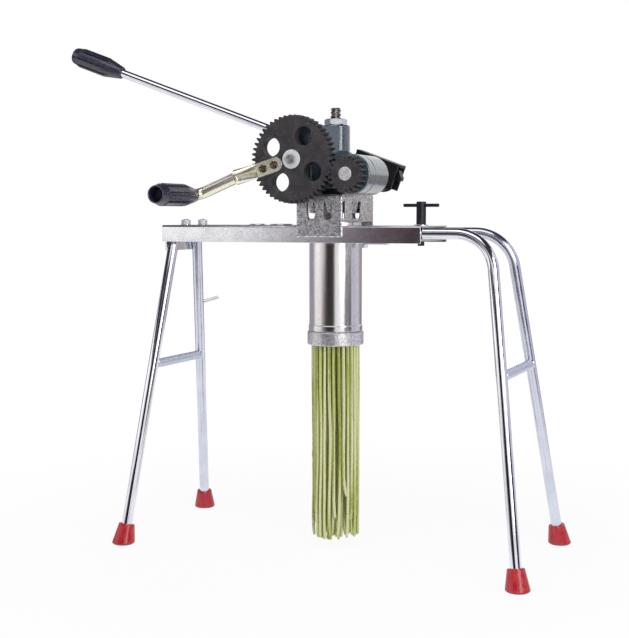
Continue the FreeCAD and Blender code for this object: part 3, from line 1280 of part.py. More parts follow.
def gear_stud():
    """The stud that the crank gear turns on, with bush, washer and bolt."""
    radius = "stud_dia / 2"
    length = "washer_back - arm_front"
    stud = turned("gear_stud", [
        ("bolt_dia / 2", "0"), (radius, "0"), (radius, length), ("stud_root / 2", length),
        ("stud_root / 2", f"{length} + stud_root_length"),
        ("0", f"{length} + stud_root_length"),
        ("0", "stud_bolt_length"), ("bolt_dia / 2", "stud_bolt_length"),
    ], "gear_x", "-washer_back", "gear_z", ALONG_Y)
    sub_part("gear_stud", stud)
    sub_part("gear_bush", ring("gear_bush", radius + " + gear_bush_wall", radius + " + pin_gap",
                               "gear_wall", "gear_x", "-gear_front", "gear_z", ALONG_Y))
    sub_part("gear_washer", ring("gear_washer", "stud_washer_dia / 2", "bolt_dia / 2",
                                 "stud_washer_wall", "gear_x",
                                 "-washer_back - stud_washer_wall", "gear_z", ALONG_Y))
    front = "-washer_back - stud_washer_wall"
    bolt = fuse(
        "gear_stud_bolt",
        hexagon("stud_bolt_head", "bolt_flats", "bolt_head", "gear_x",
                front + " - bolt_head", "gear_z", ALONG_Y),
        cylinder("stud_bolt_shank", "bolt_dia / 2", "stud_washer_wall + stud_bolt_length",
                 "gear_x", front, "gear_z", ALONG_Y),
    )
    sub_part("gear_stud_bolt", bolt)


def worm_shaft():
    """One steel shaft: pinion seat, worm, square for the ratchet, journal, tail."""
    radius, module = "shaft_dia / 2", "worm_module"
    start = "pinion_front + shaft_proud"
    worm_low = f"{start} - worm_front"
    root = f"worm_pitch_dia / 2 - {DEDENDUM} * worm_module"
    flat_start = f"{start} + head_front_inner + head_play"
    body = add("PartDesign::Body", "worm_shaft_blank")
    outline = [
        ("0", "0"), (radius + " - small_edge", "0"), (radius, "small_edge"), (radius, worm_low),
        (root, worm_low), (root, worm_low + " + worm_length"), (radius, worm_low + " + worm_length"),
        (radius, flat_start),
        ("journal_dia / 2", flat_start), ("journal_dia / 2", f"{start} + head_rear + head_play"),
        ("tail_dia / 2", f"{start} + head_rear + head_play"),
        ("tail_dia / 2", f"{start} + head_rear + tail_length"),
        ("0", f"{start} + head_rear + tail_length"),
    ]
    sketch = draw(sketch_on(body, "worm_shaft_profile", "XZ_Plane"), outline)
    feature = body.newObject("PartDesign::Revolution", "worm_shaft_turned")
    feature.Profile = sketch
    feature.ReferenceAxis = (sketch, ["V_Axis"])
    feature.Angle = FULL_TURN
    doc.recompute()
    pitch_radius = "worm_pitch_dia / 2"
    lead = "worm_module * pi"
    flank = f"tan({PRESSURE_ANGLE})"
    half_root = f"(worm_tooth / 2 + {flank} * ({DEDENDUM} * {module} + thread_bite))"
    half_tip = f"(worm_tooth / 2 - {flank} * {module})"
    # the turns end in mesh with the wheel, abreast of its axis
    base = f"({start} - worm_turns * {lead})"
    thread_sketch = draw(sketch_on(body, "worm_thread_profile", "XZ_Plane"), [
        (root + " - thread_bite", f"{base} - {half_root}"),
        (pitch_radius + f" + {module}", f"{base} - {half_tip}"),
        (pitch_radius + f" + {module}", f"{base} + {half_tip}"),
        (root + " - thread_bite", f"{base} + {half_root}"),
    ])
    thread = body.newObject("PartDesign::AdditiveHelix", "worm_thread")
    thread.Profile = thread_sketch
    thread.ReferenceAxis = (thread_sketch, ["V_Axis"])
    thread.Mode = "pitch-height-angle"
    bind(thread, Pitch=lead, Height=f"worm_turns * {lead}")
    put(body, "worm_x", f"-({start})", "worm_z", ALONG_Y)
    square_length = "head_rear_inner - head_front_inner - 2 * head_play"
    square = box("ratchet_square_bar", "ratchet_square", square_length,
                 "ratchet_square", "worm_x - ratchet_square / 2", "head_front_inner + head_play",
                 "worm_z - ratchet_square / 2")
    round_bar = cylinder("ratchet_square_turned", radius + " - bolt_play", square_length,
                         "worm_x", "head_front_inner + head_play", "worm_z", ALONG_Y)
    squared = add("Part::Common", "ratchet_square_rounded")
    squared.Base = square
    squared.Tool = round_bar
    sub_part("worm_shaft", fuse("worm_shaft", body, squared))


def worm_wheel():
    """The wheel that the worm drives, with straight gaps cut to the worm's lead."""
    teeth = size("wheel_teeth")
    blank = gear_blank("wheel", "wheel_teeth", "worm_module", "wheel_face", "gear_shift")
    put(blank, turn=FreeCAD.Rotation(Z_AXIS, mesh_turn(teeth, 0, True)))
    hub_low = "base_top + bearing_wall + running_gap"
    hub_high = "ceiling - bearing_wall - running_gap"
    low = "worm_z - wheel_face / 2"
    hub = cylinder("wheel_hub", "wheel_hub / 2", f"({hub_high}) - ({hub_low})",
                   z=f"({hub_low}) - ({low})")
    bore = cylinder("wheel_bore", "nut_dia / 2", "ceiling - base_top", z=f"base_top - ({low})")
    wheel = cut("worm_wheel", fuse("wheel_solid", blank, hub), bore)
    sub_part("worm_wheel", put(wheel, "0", "0", low))
    nut = ring("lead_nut", "nut_dia / 2", "screw_dia / 2 + pin_gap", "nut_length",
               "0", "0", "nut_floor")
    sub_part("lead_nut", nut)


# --------------------------------------------------------------------- the crank
def crank_frame(item):
    """Place a piece whose own -X runs along the crank plate."""
    turn = FreeCAD.Rotation(Y_AXIS, -size("crank_dip_turn"))
    return put(item, "gear_x", "0", "gear_z", turn)


def crank_arm():
    """A flat end that widens to a tube, which dips and then turns to the front."""
    half = "crank_plate_width / 2"
    wall = "crank_plate_wall"
    plate = box("crank_flat", f"crank_plate_end - crank_plate_start - {half}", wall,
                "crank_plate_width", "-crank_plate_end", f"-gear_front - {wall}", "-" + half)
    eye = cylinder("crank_eye", half, wall, f"-crank_plate_start - {half}",
                   f"-gear_front - {wall}", "0", ALONG_Y)
    radius = size("crank_tube_dia / 2")
    depth = -size("crank_tube_y")
    flat = oval(-size("crank_plate_end"), -size(f"gear_front + {wall} / 2"),
                size("crank_plate_width"), size(wall))
    end = oval(-size("crank_neck_end"), depth, size("crank_sleeve_width"),
               2 * size("crank_tube_y - gear_front"))
    sleeve = Part.makeLoft([flat, end], True, True)
    start = FreeCAD.Vector(-size("crank_neck_end - crank_tube_dia / 4"), depth, 0)
    corner = FreeCAD.Vector(size("crank_corner_x"), depth, size("crank_corner_z"))
    front = FreeCAD.Vector(corner.x, -size("crank_tube_front"), corner.z)
    tube = bent_bar([start, corner, front], radius, size("crank_bend"))
    bent = shaped("crank_tube", sleeve.fuse(tube))
    tools = [
        cylinder(f"crank_hole_{name}", "crank_screw_dia / 2", wall + " + 2 * overshoot",
                 "-crank_screw_" + name, f"-gear_front - {wall} - overshoot", "0", ALONG_Y)
        for name in ("near", "far")
    ]
    tools.append(cylinder("crank_socket", "spindle_dia / 2", "socket_depth + overshoot",
                          "crank_corner_x", "-crank_tube_front - overshoot", "crank_corner_z", ALONG_Y))
    sub_part("crank_arm", crank_frame(cut("crank_arm", fuse("crank_blank", plate, eye, bent), *tools)))


def oval(x, y, tall, deep):
    """An upright rounded outline across the crank."""
    across = FreeCAD.Vector(x, y + deep / 2, 0)
    upright = FreeCAD.Vector(x, y, tall / 2)
    return Part.Wire(Part.Ellipse(upright, across, FreeCAD.Vector(x, y, 0)).toShape())


def crank_screws():
    screws = []
    for name in ("near", "far"):
        head_y = "-gear_front - crank_plate_wall - crank_screw_rise"
        place = "-crank_screw_" + name
        screws.append(fuse(
            f"crank_screw_{name}_piece",
            cylinder(f"crank_screw_{name}_head", "crank_screw_head / 2", "crank_screw_rise",
                     place, head_y, "0", ALONG_Y),
            cylinder(f"crank_screw_{name}_shank", "crank_screw_dia / 2",
                     "crank_plate_wall + crank_screw_length",
                     place, "-gear_front - crank_plate_wall", "0", ALONG_Y),
        ))
    sub_part("crank_screws", crank_frame(group("crank_screws", *screws)))


def crank_grip():
    """A fluted grip that turns on a spindle and is held by a nut in its recess."""
    axis_x, axis_z = "crank_corner_x", "crank_corner_z"
    nut_front = "grip_floor + nut_height + pin_gap"
    tip = nut_front + " + spindle_tail"
    spindle = cylinder("spindle_rod", "spindle_dia / 2",
                       f"{tip} - crank_tube_front + socket_depth",
                       axis_x, f"-({tip})", axis_z, ALONG_Y)
    sub_part("crank_spindle", crank_frame(group("crank_spindle", spindle)))
    nut = cut("spindle_nut_bored",
              hexagon("spindle_nut_hex", "bolt_flats", "nut_height",
                      axis_x, f"-({nut_front})", axis_z, ALONG_Y),
              cylinder("spindle_nut_hole", "spindle_dia / 2", "nut_height + 2 * overshoot",
                       axis_x, f"-({nut_front}) - overshoot", axis_z, ALONG_Y))
    sub_part("spindle_nut", crank_frame(group("spindle_nut", nut)))
    length = size("crank_grip_front - crank_grip_back")
    body = fluted_grip(size("crank_grip_dia / 2"), length, size("crank_tube_dia / 2 + crank_grip_wall"))
    bores = [
        Part.makeCylinder(size("spindle_dia / 2 + pin_gap"), length),
        Part.makeCylinder(size("crank_grip_recess / 2"), size("crank_recess_depth")),
        Part.makeCylinder(size("crank_tube_dia / 2 + crank_grip_mouth"), length,
                          Z_AXIS * size("crank_grip_front - crank_tube_front - running_gap")),
    ]
    grip = put(shaped("crank_grip_own", body.cut(bores)),
               axis_x, "-crank_grip_front", axis_z, ALONG_Y)
    sub_part("crank_grip", crank_frame(group("crank_grip", grip)))


def fluted_grip(radius, length, neck):
    """A round grip along +Z: a plain tapered collar, a fluted middle and a tapered neck."""
    collar = size("grip_collar")
    taper = 2 * collar
    edge = size("grip_edge")
    profile = [
        (0, 0), (radius - size("grip_face_step"), 0), (radius - edge, collar),
        (radius, collar + 2 * edge), (radius, length - taper), (neck, length), (0, length),
    ]
    corners = [FreeCAD.Vector(a, 0, b) for a, b in profile]
    face = Part.Face(Part.makePolygon(corners + corners[:1]))
    body = face.revolve(ORIGIN, Z_AXIS, FULL_TURN)
    flute_radius, depth = size("flute_radius"), size("flute_depth")
    count = int(size("grip_flutes"))
    centre = FreeCAD.Vector(radius + flute_radius - depth, 0, collar + 2 * edge)
    flute = Part.makeCylinder(flute_radius, length, centre)
    for number in range(count):
        groove = flute.copy()
        groove.rotate(ORIGIN, Z_AXIS, FULL_TURN * number / count)
        body = body.cut(groove)
    return body


# --------------------------------------------------------------------- the lever
def lever_frame(item):
    """Place a piece whose own -X runs along the lever and whose origin is the shaft."""
    turn = FreeCAD.Rotation(Y_AXIS, size("lever_rise_turn"))
    return put(item, "worm_x", "0", "worm_z", turn)


def lobed_plate(name, left, right, y):
    """A head plate: a bar with one round lobe about the shaft."""
    wall = "head_plate"
    bar = box(name + "_bar", f"{left} + {right}", wall, "head_top + head_bottom",
              "-" + left, y, "-head_bottom")
    lobe = cylinder(name + "_lobe", "head_round", wall, "0", y, "0", ALONG_Y)
    toe = box(name + "_toe", right, wall, "head_toe", "0", y, "-head_toe")
    return fuse(name, bar, lobe, toe)


def ratchet_head():
    """A yoke: front plate, top web and a socket block for the lever rod."""
    plate = lobed_plate("head_front_plate", "head_front_left", "head_right", "head_back")
    web = box("head_web", "head_front_left + cover_right", "head_rear_inner - head_front_inner",
              "head_plate", "-head_front_left", "head_front_inner", "head_top - head_plate")
    block = box("head_block", "head_left - block_start", "head_rear_inner - block_front",
                "head_top + head_bottom", "-head_left", "block_front", "-head_bottom")
    bridge = box("head_bridge", "block_start - head_front_left", "head_rear_inner - block_front",
                 "2 * head_plate", "-block_start", "block_front", "head_top - 2 * head_plate")
    hole = cylinder("head_shaft_hole", "shaft_dia / 2 + pin_gap", "head_plate + 2 * overshoot",
                    "0", "head_back - overshoot", "0", ALONG_Y)
    rod_hole = cylinder("head_rod_hole", "lever_rod_dia / 2", "head_left",
                        "-lever_rod_start - head_left", "lever_rod_back", "lever_offset", ALONG_X)
    pin_hole = cylinder("head_pin_hole", "pawl_pin_dia / 2 + pin_gap", "head_plate + 2 * overshoot",
                        "pawl_pin_right", "head_back - overshoot", "pawl_pin_up", ALONG_Y)
    solid = fuse("head_blank", plate, web, block, bridge)
    sub_part("ratchet_head", lever_frame(cut("ratchet_head", solid, hole, rod_hole, pin_hole)))
    cover = lobed_plate("head_cover_plate", "head_left", "cover_right", "head_rear_inner")
    cover_hole = cylinder("cover_shaft_hole", "journal_dia / 2 + pin_gap", "head_plate + 2 * overshoot",
                          "0", "head_rear_inner - overshoot", "0", ALONG_Y)
    cover_pin = cylinder("cover_pin_hole", "pawl_pin_dia / 2 + pin_gap", "head_plate + 2 * overshoot",
                         "pawl_pin_right", "head_rear_inner - overshoot", "pawl_pin_up", ALONG_Y)
    sub_part("ratchet_cover", lever_frame(cut("ratchet_cover", cover, cover_hole, cover_pin)))
    screws = []
    for column in ("near", "far"):
        for level, z in (("low", "-head_bottom + cover_screw_inset"),
                         ("high", "head_top - cover_screw_inset")):
            screws.append(cylinder(f"cover_screw_{column}_{level}", "cover_screw_head / 2",
                                   "cover_screw_rise", "-cover_screw_" + column, "head_rear",
                                   z, ALONG_Y))
    sub_part("cover_screws", lever_frame(group("cover_screws", *screws)))


def ratchet_wheel():
    """A saw-toothed wheel on the shaft's square, between the head's plates."""
    count = int(size("ratchet_teeth"))
    outer, root = size("ratchet_dia / 2"), size("ratchet_root / 2")
    points = []
    for number in range(count):
        angle = 2 * math.pi * number / count
        points.append(FreeCAD.Vector(outer * math.cos(angle), outer * math.sin(angle), 0))
        points.append(FreeCAD.Vector(root * math.cos(angle), root * math.sin(angle), 0))
    points.append(points[0])
    face = Part.Face(Part.makePolygon(points))
    blank = shaped("ratchet_blank", face.extrude(Z_AXIS * size("ratchet_wall")))
    square = box("ratchet_hole", "ratchet_square", "ratchet_square", "ratchet_wall + 2 * overshoot",
                 "-ratchet_square / 2", "-ratchet_square / 2", "-overshoot")
    wheel = cut("ratchet_wheel", blank, square)
    sub_part("ratchet_wheel", put(wheel, "worm_x", "ratchet_front", "worm_z", ALONG_Y))
    nut = hexagon("shaft_nut_hex", "shaft_nut_flats", "shaft_nut_height")
    hole = cylinder("shaft_nut_hole", "tail_dia / 2", "shaft_nut_height + 2 * overshoot",
                    z="-overshoot")
    nut_cut = cut("shaft_nut", nut, hole)
    sub_part("shaft_nut", put(nut_cut, "worm_x", "head_rear + head_play", "worm_z", ALONG_Y))


def ratchet_pawl():
    """A rocking pawl on its own trunnions, with a thumb tip beyond the head."""
    pin_x, pin_z = size("pawl_pin_right"), size("pawl_pin_up")
    heel, crown, shoulder = size("pawl_heel"), size("pawl_crown"), size("pawl_shoulder")
    tip, high, low = size("pawl_tip"), size("pawl_tip_high"), size("pawl_tip_low")
    edge = size("pawl_tip_edge")
    points = [
        (pin_x - heel, pin_z), (pin_x, pin_z + crown),
        (shoulder, pin_z + crown - size("pawl_slope")),
        (tip - edge, high + edge), (tip, high), (tip, low), (tip - 1.5 * edge, low - edge / 2),
        (shoulder, low - edge / 3), (shoulder - 1.7 * edge, low + edge), (pin_x, pin_z - heel),
    ]
    start = size("head_front_inner + head_rear_inner - pawl_wall") / 2
    corners = [FreeCAD.Vector(a, start, b) for a, b in points]
    face = Part.Face(Part.makePolygon(corners + corners[:1]))
    body = face.extrude(Y_AXIS * size("pawl_wall"))
    trunnion = Part.makeCylinder(size("pawl_pin_dia / 2"), size("head_depth - 2 * head_play"),
                                 FreeCAD.Vector(pin_x, size("head_back + head_play"), pin_z), Y_AXIS)
    pawl = shaped("ratchet_pawl", body.fuse(trunnion))
    sub_part("ratchet_pawl", lever_frame(pawl))


def lever_rod():
    rod = cylinder("lever_bar", "lever_rod_dia / 2", "lever_tip - lever_rod_start - lever_rod_seat",
                   "lever_rod_seat - lever_tip", "lever_rod_back", "lever_offset", ALONG_X)
    sub_part("lever_rod", lever_frame(group("lever_rod", rod)))
    length = size("lever_grip_length")
    body = fluted_grip(size("lever_grip_dia / 2"), length, size("lever_grip_neck / 2"))
    bore = Part.makeCylinder(size("lever_rod_dia / 2"), length,
                             Z_AXIS * size("lever_rod_seat"))
    grip = put(shaped("lever_grip_own", body.cut(bore)),
               "-lever_tip", "lever_rod_back", "lever_offset", ALONG_X)
    sub_part("lever_grip", lever_frame(group("lever_grip", grip)))


# ---------------------------------------------------------------------- assembly
bench_channel()
left_legs()
left_cross_plate()
left_frame_bolts()
right_legs()
leg_clamp()
barrel_catch()
barrel()
die_cap()
die_disc()
noodle_bundle()
piston()
lead_screw()
head_bracket()
base_plate()
housing_bolts()
gear_housing()
front_bearing_cap()
worm_bearings()
tower_nut()
drive_gear()
pinion()
gear_stud()
worm_shaft()
worm_wheel()
crank_arm()
crank_screws()
crank_grip()
ratchet_head()
ratchet_wheel()
ratchet_pawl()
lever_rod()
doc.recompute()


def check_and_write():
    """Stop at any failed object or broken shape, then write one file per piece."""
    faults = [
        item.Name for item in doc.Objects
        if "Invalid" in item.State or "Error" in item.State
    ]
    for item in SUB_PARTS:
        shape = item.Shape
        if shape.isNull() or not shape.isValid() or not shape.Solids:
            faults.append("shape of " + item.Label)
    if faults:
        raise RuntimeError("failed objects: " + ", ".join(faults))
    os.makedirs("parts", exist_ok=True)
    for item in SUB_PARTS:
        item.Shape.exportStep(os.path.join("parts", item.Label + ".step"))
        solids = len(item.Shape.Solids)
        print(f"{item.Label:20s} {solids:3d} solids {item.Shape.Volume / 1000:9.2f} cm3")
    print(len(SUB_PARTS), "pieces")


check_and_write()
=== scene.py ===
"""The looks of a hand-cranked noodle press on a legged bench.

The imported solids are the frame. Most of them keep their shape and get a material here;
edges, threads, nuts, screws, grips, welds and noodles are modelled again in finer detail.
Lengths are in millimetres until a mesh is made, and every piece sits where its solid is.
"""
import json
import math
import random

import bmesh
import bpy
from mathutils import Matrix, Vector, noise


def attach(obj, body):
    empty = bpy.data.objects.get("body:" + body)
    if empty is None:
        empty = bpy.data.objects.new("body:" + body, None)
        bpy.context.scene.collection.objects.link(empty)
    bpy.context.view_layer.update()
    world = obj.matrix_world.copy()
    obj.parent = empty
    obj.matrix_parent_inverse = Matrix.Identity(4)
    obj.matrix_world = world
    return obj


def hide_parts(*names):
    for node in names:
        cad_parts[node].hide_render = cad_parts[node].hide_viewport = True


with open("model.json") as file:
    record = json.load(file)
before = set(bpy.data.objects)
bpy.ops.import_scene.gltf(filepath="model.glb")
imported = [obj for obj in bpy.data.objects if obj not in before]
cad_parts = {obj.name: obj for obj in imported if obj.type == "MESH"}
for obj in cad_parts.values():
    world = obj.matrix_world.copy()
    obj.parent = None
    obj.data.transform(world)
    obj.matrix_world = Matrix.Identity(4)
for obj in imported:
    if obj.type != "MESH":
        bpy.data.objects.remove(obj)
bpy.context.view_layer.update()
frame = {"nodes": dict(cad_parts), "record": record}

NODES = frame["nodes"]
MM = 0.001
TAU = 2 * math.pi
BODY_OF = {node: body for body, members in frame["record"]["behaviour"]["bodies"].items()
           for node in members}


# ------------------------------------------------------------------ materials
class Look:
    """A procedural material whose textures are laid out in millimetres of the object."""

    def __init__(self, name, metallic=0.0, **sockets):
        self.material = bpy.data.materials.new(name)
        self.material.use_nodes = True
        self.tree = self.material.node_tree
        self.shader = self.tree.nodes["Principled BSDF"]
        self.shader.inputs["Metallic"].default_value = metallic
        for socket, value in sockets.items():
            self.shader.inputs[socket.replace("_", " ")].default_value = value
        self.coordinates = self.add("ShaderNodeTexCoord").outputs["Object"]
        self.normal = None

    def add(self, kind, **settings):
        node = self.tree.nodes.new(kind)
        for key, value in settings.items():
            setattr(node, key, value)
        return node

    def link(self, output, socket):
        self.tree.links.new(output, socket)

    def place(self, stretch):
        """Object coordinates in millimetres, divided by how far the pattern is drawn out."""
        node = self.add("ShaderNodeMapping")
        node.inputs["Scale"].default_value = [1 / (MM * s) for s in stretch]
        self.link(self.coordinates, node.inputs["Vector"])
        return node.outputs["Vector"]

    def noise(self, size, detail=3.0, rough=0.55, stretch=(1, 1, 1), distortion=0.0):
        """Cloudy values from 0 to 1; size is the width of a patch in millimetres."""
        node = self.add("ShaderNodeTexNoise")
        node.inputs["Scale"].default_value = 1 / size
        node.inputs["Detail"].default_value = detail
        node.inputs["Roughness"].default_value = rough
        node.inputs["Distortion"].default_value = distortion
        self.link(self.place(stretch), node.inputs["Vector"])
        return node.outputs["Fac"]

    def cells(self, size):
        """Crystal cells of that size in millimetres, each with a value of its own."""
        node = self.add("ShaderNodeTexVoronoi")
        node.inputs["Scale"].default_value = 1 / size
        self.link(self.place((1, 1, 1)), node.inputs["Vector"])
        split = self.add("ShaderNodeSeparateColor")
        self.link(node.outputs["Color"], split.inputs["Color"])
        return split.outputs["Red"]

    def ramp(self, value, stops):
        """Colours that change softly with a value; stops are (value, colour)."""
        node = self.add("ShaderNodeValToRGB")
        node.color_ramp.interpolation = "EASE"
        elements = node.color_ramp.elements
        while len(elements) < len(stops):
            elements.new(0.5)
        for element, (at, colour) in zip(elements, stops):
            element.position = at
            element.color = (*colour, 1)
        self.link(value, node.inputs["Fac"])
        return node.outputs["Color"]

    def span(self, value, low, high, start, end):
        """low where the value is at start and high where it is at end."""
        node = self.add("ShaderNodeMapRange")
        for socket, number in (("From Min", start), ("From Max", end),
                               ("To Min", low), ("To Max", high)):
            node.inputs[socket].default_value = number
        self.link(value, node.inputs["Value"])
        return node.outputs["Result"]

    def mix(self, factor, base, colour):
        """The base colour, going over to another colour as the factor rises to 1."""
        node = self.add("ShaderNodeMix", data_type="RGBA")
        self.link(factor, node.inputs[0])
        self.link(base, node.inputs[6])
        node.inputs[7].default_value = (*colour, 1)
        return node.outputs[2]

    def product(self, first, second):
        node = self.add("ShaderNodeMath", operation="MULTIPLY", use_clamp=True)
        self.link(first, node.inputs[0])
        self.link(second, node.inputs[1])
        return node.outputs["Value"]

    def edges(self, radius):
        """1 along the outer edges of the shape and 0 on its faces; radius in millimetres. The
        looks use it to paint highlights along edges.
        """
        soft = self.add("ShaderNodeBevel", samples=6)
        soft.inputs["Radius"].default_value = radius * MM
        plain = self.add("ShaderNodeNewGeometry")
        dot = self.add("ShaderNodeVectorMath", operation="DOT_PRODUCT")
        self.link(soft.outputs["Normal"], dot.inputs[0])
        self.link(plain.outputs["Normal"], dot.inputs[1])
        return self.span(dot.outputs["Value"], 0, 1, 0.995, 0.86)

    def rounded(self, radius):
        """Edges shade as if they were rounded by that radius in millimetres."""
        soft = self.add("ShaderNodeBevel", samples=6)
        soft.inputs["Radius"].default_value = radius * MM
        self.normal = soft.outputs["Normal"]

    def bump(self, value, height, strength):
        """Fine relief of that height in millimetres."""
        node = self.add("ShaderNodeBump")
        node.inputs["Distance"].default_value = height * MM
        node.inputs["Strength"].default_value = strength
        self.link(value, node.inputs["Height"])
        if self.normal is not None:
            self.link(self.normal, node.inputs["Normal"])
        self.normal = node.outputs["Normal"]

    def done(self, colour, roughness):
        """The finished material."""
        self.link(colour, self.shader.inputs["Base Color"])
        self.link(roughness, self.shader.inputs["Roughness"])
        if self.normal is not None:
            self.link(self.normal, self.shader.inputs["Normal"])
        return self.material


def zinc_sheet():
    """Folded sheet: bright zinc, nearly a mirror, broken up by fine grain."""
    look = Look("zinc_sheet", metallic=1.0)
    grain = look.noise(1.5, detail=3, rough=0.75)
    fleck = look.noise(1.6, detail=3, rough=0.85)
    cloud = look.noise(22, detail=4)
    base = look.ramp(grain, [(0.34, (0.80, 0.80, 0.83)), (0.56, (0.98, 0.98, 1.0))])
    base = look.mix(look.span(fleck, 0, 0.6, 0.54, 0.68), base, (0.40, 0.38, 0.43))
    # Painted highlight: the edges are painted near-white, where they would catch light.
    base = look.mix(look.edges(0.8), base, (0.97, 0.97, 0.99))
    look.bump(grain, 0.08, 0.6)
    return look.done(base, look.span(cloud, 0.10, 0.20, 0.3, 0.7))


def bracket_sheet():
    """The saddle's sheet: galvanised, with strong bright and dark crystals."""
    look = Look("bracket_sheet", metallic=0.72)
    crystal = look.cells(1.6)
    grain = look.noise(1.4, detail=4, rough=0.85)
    cloud = look.noise(18, detail=3)
    base = look.ramp(crystal, [(0.2, (0.33, 0.325, 0.35)), (0.8, (1.0, 0.99, 1.0))])
    base = look.mix(look.span(grain, 0, 0.8, 0.53, 0.66), base, (0.15, 0.145, 0.17))
    # Painted highlight: the edges are painted near-white, where they would catch light.
    base = look.mix(look.edges(0.9), base, (0.97, 0.97, 0.99))
    look.bump(crystal, 0.10, 0.6)
    look.bump(grain, 0.12, 0.6)
    return look.done(base, look.span(cloud, 0.22, 0.32, 0.3, 0.7))


def chrome(name, dark, light, low, high):
    """Chromed tube with hair-fine rubbing along it."""
    look = Look(name, metallic=1.0)
    haze = look.noise(26, detail=4)
    hair = look.noise(0.8, detail=2, stretch=(1, 1, 40))
    base = look.ramp(haze, [(0.3, dark), (0.7, light)])
    base = look.mix(look.span(hair, 0, 0.15, 0.6, 0.8), base, [0.8 * c for c in dark])
    look.bump(hair, 0.01, 0.25)
    return look.done(base, look.span(haze, low, high, 0.3, 0.7))


def rubber():
    """Red rubber: clean at the top, rubbed and dusty at the sole."""
    look = Look("red_rubber", Specular_IOR_Level=0.5)
    cloud = look.noise(9, detail=4)
    grain = look.noise(0.7, detail=2)
    height = look.add("ShaderNodeSeparateXYZ")
    look.link(look.coordinates, height.inputs["Vector"])
    base = look.ramp(cloud, [(0.3, (0.54, 0.014, 0.030)), (0.7, (0.70, 0.045, 0.062))])
    dust = look.product(look.span(height.outputs["Z"], 0.55, 0.0, 0, 6 * MM),
                        look.span(cloud, 0.2, 1.0, 0.35, 0.7))
    base = look.mix(dust, base, (0.42, 0.16, 0.15))
    # Painted highlight: the edges are painted a lighter red, where the rims would catch light.
    base = look.mix(look.edges(1.2), base, (0.74, 0.10, 0.11))
    look.rounded(1.0)
    look.bump(grain, 0.05, 0.4)
    return look.done(base, look.span(cloud, 0.16, 0.32, 0.3, 0.7))


def plated(name, dark, light, low, high, metallic=1.0):
    """Small plated or turned parts: fine noise, and a painted highlight that makes the edges
    brighter.
    """
    look = Look(name, metallic=metallic)
    cloud = look.noise(3.5, detail=4)
    fine = look.noise(0.5, detail=2)
    base = look.ramp(cloud, [(0.3, dark), (0.7, light)])
    # Painted highlight: the edges are painted brighter than the faces.
    base = look.mix(look.edges(0.35), base, [min(1, 1.25 * c) for c in light])
    look.rounded(0.3)
    look.bump(fine, 0.03, 0.35)
    return look.done(base, look.span(cloud, low, high, 0.3, 0.7))


def black_steel():
    """Blackened steel plate and bar, satin, with a cool grey highlight painted along its edges.
    """
    look = Look("black_steel", metallic=0.55, Specular_IOR_Level=0.5)
    cloud = look.noise(7, detail=5)
    grit = look.noise(0.6, detail=2)
    base = look.ramp(cloud, [(0.3, (0.018, 0.017, 0.024)), (0.7, (0.036, 0.034, 0.046))])
    base = look.mix(look.span(grit, 0, 0.4, 0.60, 0.75), base, (0.075, 0.072, 0.09))
    # Painted highlight: the edges are painted a cool lavender grey.
    base = look.mix(look.edges(0.5), base, (0.33, 0.31, 0.42))
    look.rounded(0.5)
    look.bump(grit, 0.06, 0.4)
    return look.done(base, look.span(cloud, 0.30, 0.46, 0.3, 0.7))


def black_iron():
    """Gear blanks: matt charcoal with small painted glints, and a cool grey highlight painted on
    the tooth edges.
    """
    look = Look("black_iron", metallic=0.35, Specular_IOR_Level=0.5)
    cloud = look.noise(16, detail=6, rough=0.62)
    grit = look.noise(0.9, detail=3, rough=0.75)
    # Painted glints: small bright cells are painted into the colour as highlights.
    painted_glint = look.cells(1.3)
    base = look.ramp(cloud, [(0.3, (0.050, 0.045, 0.050)), (0.72, (0.086, 0.078, 0.084))])
    base = look.mix(look.span(grit, 0, 0.55, 0.55, 0.75), base, (0.13, 0.12, 0.135))
    base = look.mix(look.span(painted_glint, 0, 0.45, 0.94, 1.0), base, (0.28, 0.26, 0.30))
    # Painted highlight: the tooth edges are painted a cool grey.
    base = look.mix(look.edges(0.45), base, (0.19, 0.18, 0.23))
    look.bump(grit, 0.10, 0.5)
    return look.done(base, look.span(cloud, 0.44, 0.64, 0.3, 0.7))


def slate_paint():
    """Machine enamel over casting: dark teal, glossy, with an orange-peel skin."""
    look = Look("slate_paint", Specular_IOR_Level=0.9, Coat_Weight=1.0, Coat_IOR=1.68,
                Coat_Roughness=0.13)
    cloud = look.noise(16, detail=4)
    peel = look.noise(1.9, detail=2)
    cast = look.noise(9, detail=3)
    base = look.ramp(cloud, [(0.3, (0.036, 0.070, 0.092)), (0.7, (0.058, 0.104, 0.130))])
    # Painted highlight: the edges are painted a lighter slate grey.
    base = look.mix(look.edges(0.9), base, (0.22, 0.27, 0.33))
    look.rounded(1.4)
    look.bump(cast, 0.5, 0.6)
    look.bump(peel, 0.24, 0.9)
    return look.done(base, look.span(cloud, 0.22, 0.36, 0.3, 0.7))


def stainless():
    """Rolled and polished tube: faint rings round it and a mottled polish."""
    look = Look("stainless", metallic=1.0)
    mottle = look.noise(1.8, detail=4, rough=0.75)
    rings = look.noise(1.2, detail=3, stretch=(60, 60, 1))
    base = look.ramp(mottle, [(0.3, (0.64, 0.62, 0.61)), (0.66, (0.84, 0.82, 0.81))])
    base = look.mix(look.span(rings, 0, 0.25, 0.55, 0.8), base, (0.52, 0.50, 0.50))
    look.bump(mottle, 0.09, 0.45)
    look.bump(rings, 0.03, 0.35)
    return look.done(base, look.span(mottle, 0.13, 0.27, 0.3, 0.7))


def satin_steel():
    """Turned collar and die: satin, with rings from the tool."""
    look = Look("satin_steel", metallic=1.0)
    mottle = look.noise(2.6, detail=4, rough=0.7)
    rings = look.noise(0.7, detail=2, stretch=(80, 80, 1))
    base = look.ramp(mottle, [(0.34, (0.42, 0.41, 0.43)), (0.62, (0.80, 0.79, 0.82))])
    look.bump(rings, 0.05, 0.4)
    look.bump(mottle, 0.12, 0.7)
    return look.done(base, look.span(mottle, 0.36, 0.50, 0.3, 0.7))


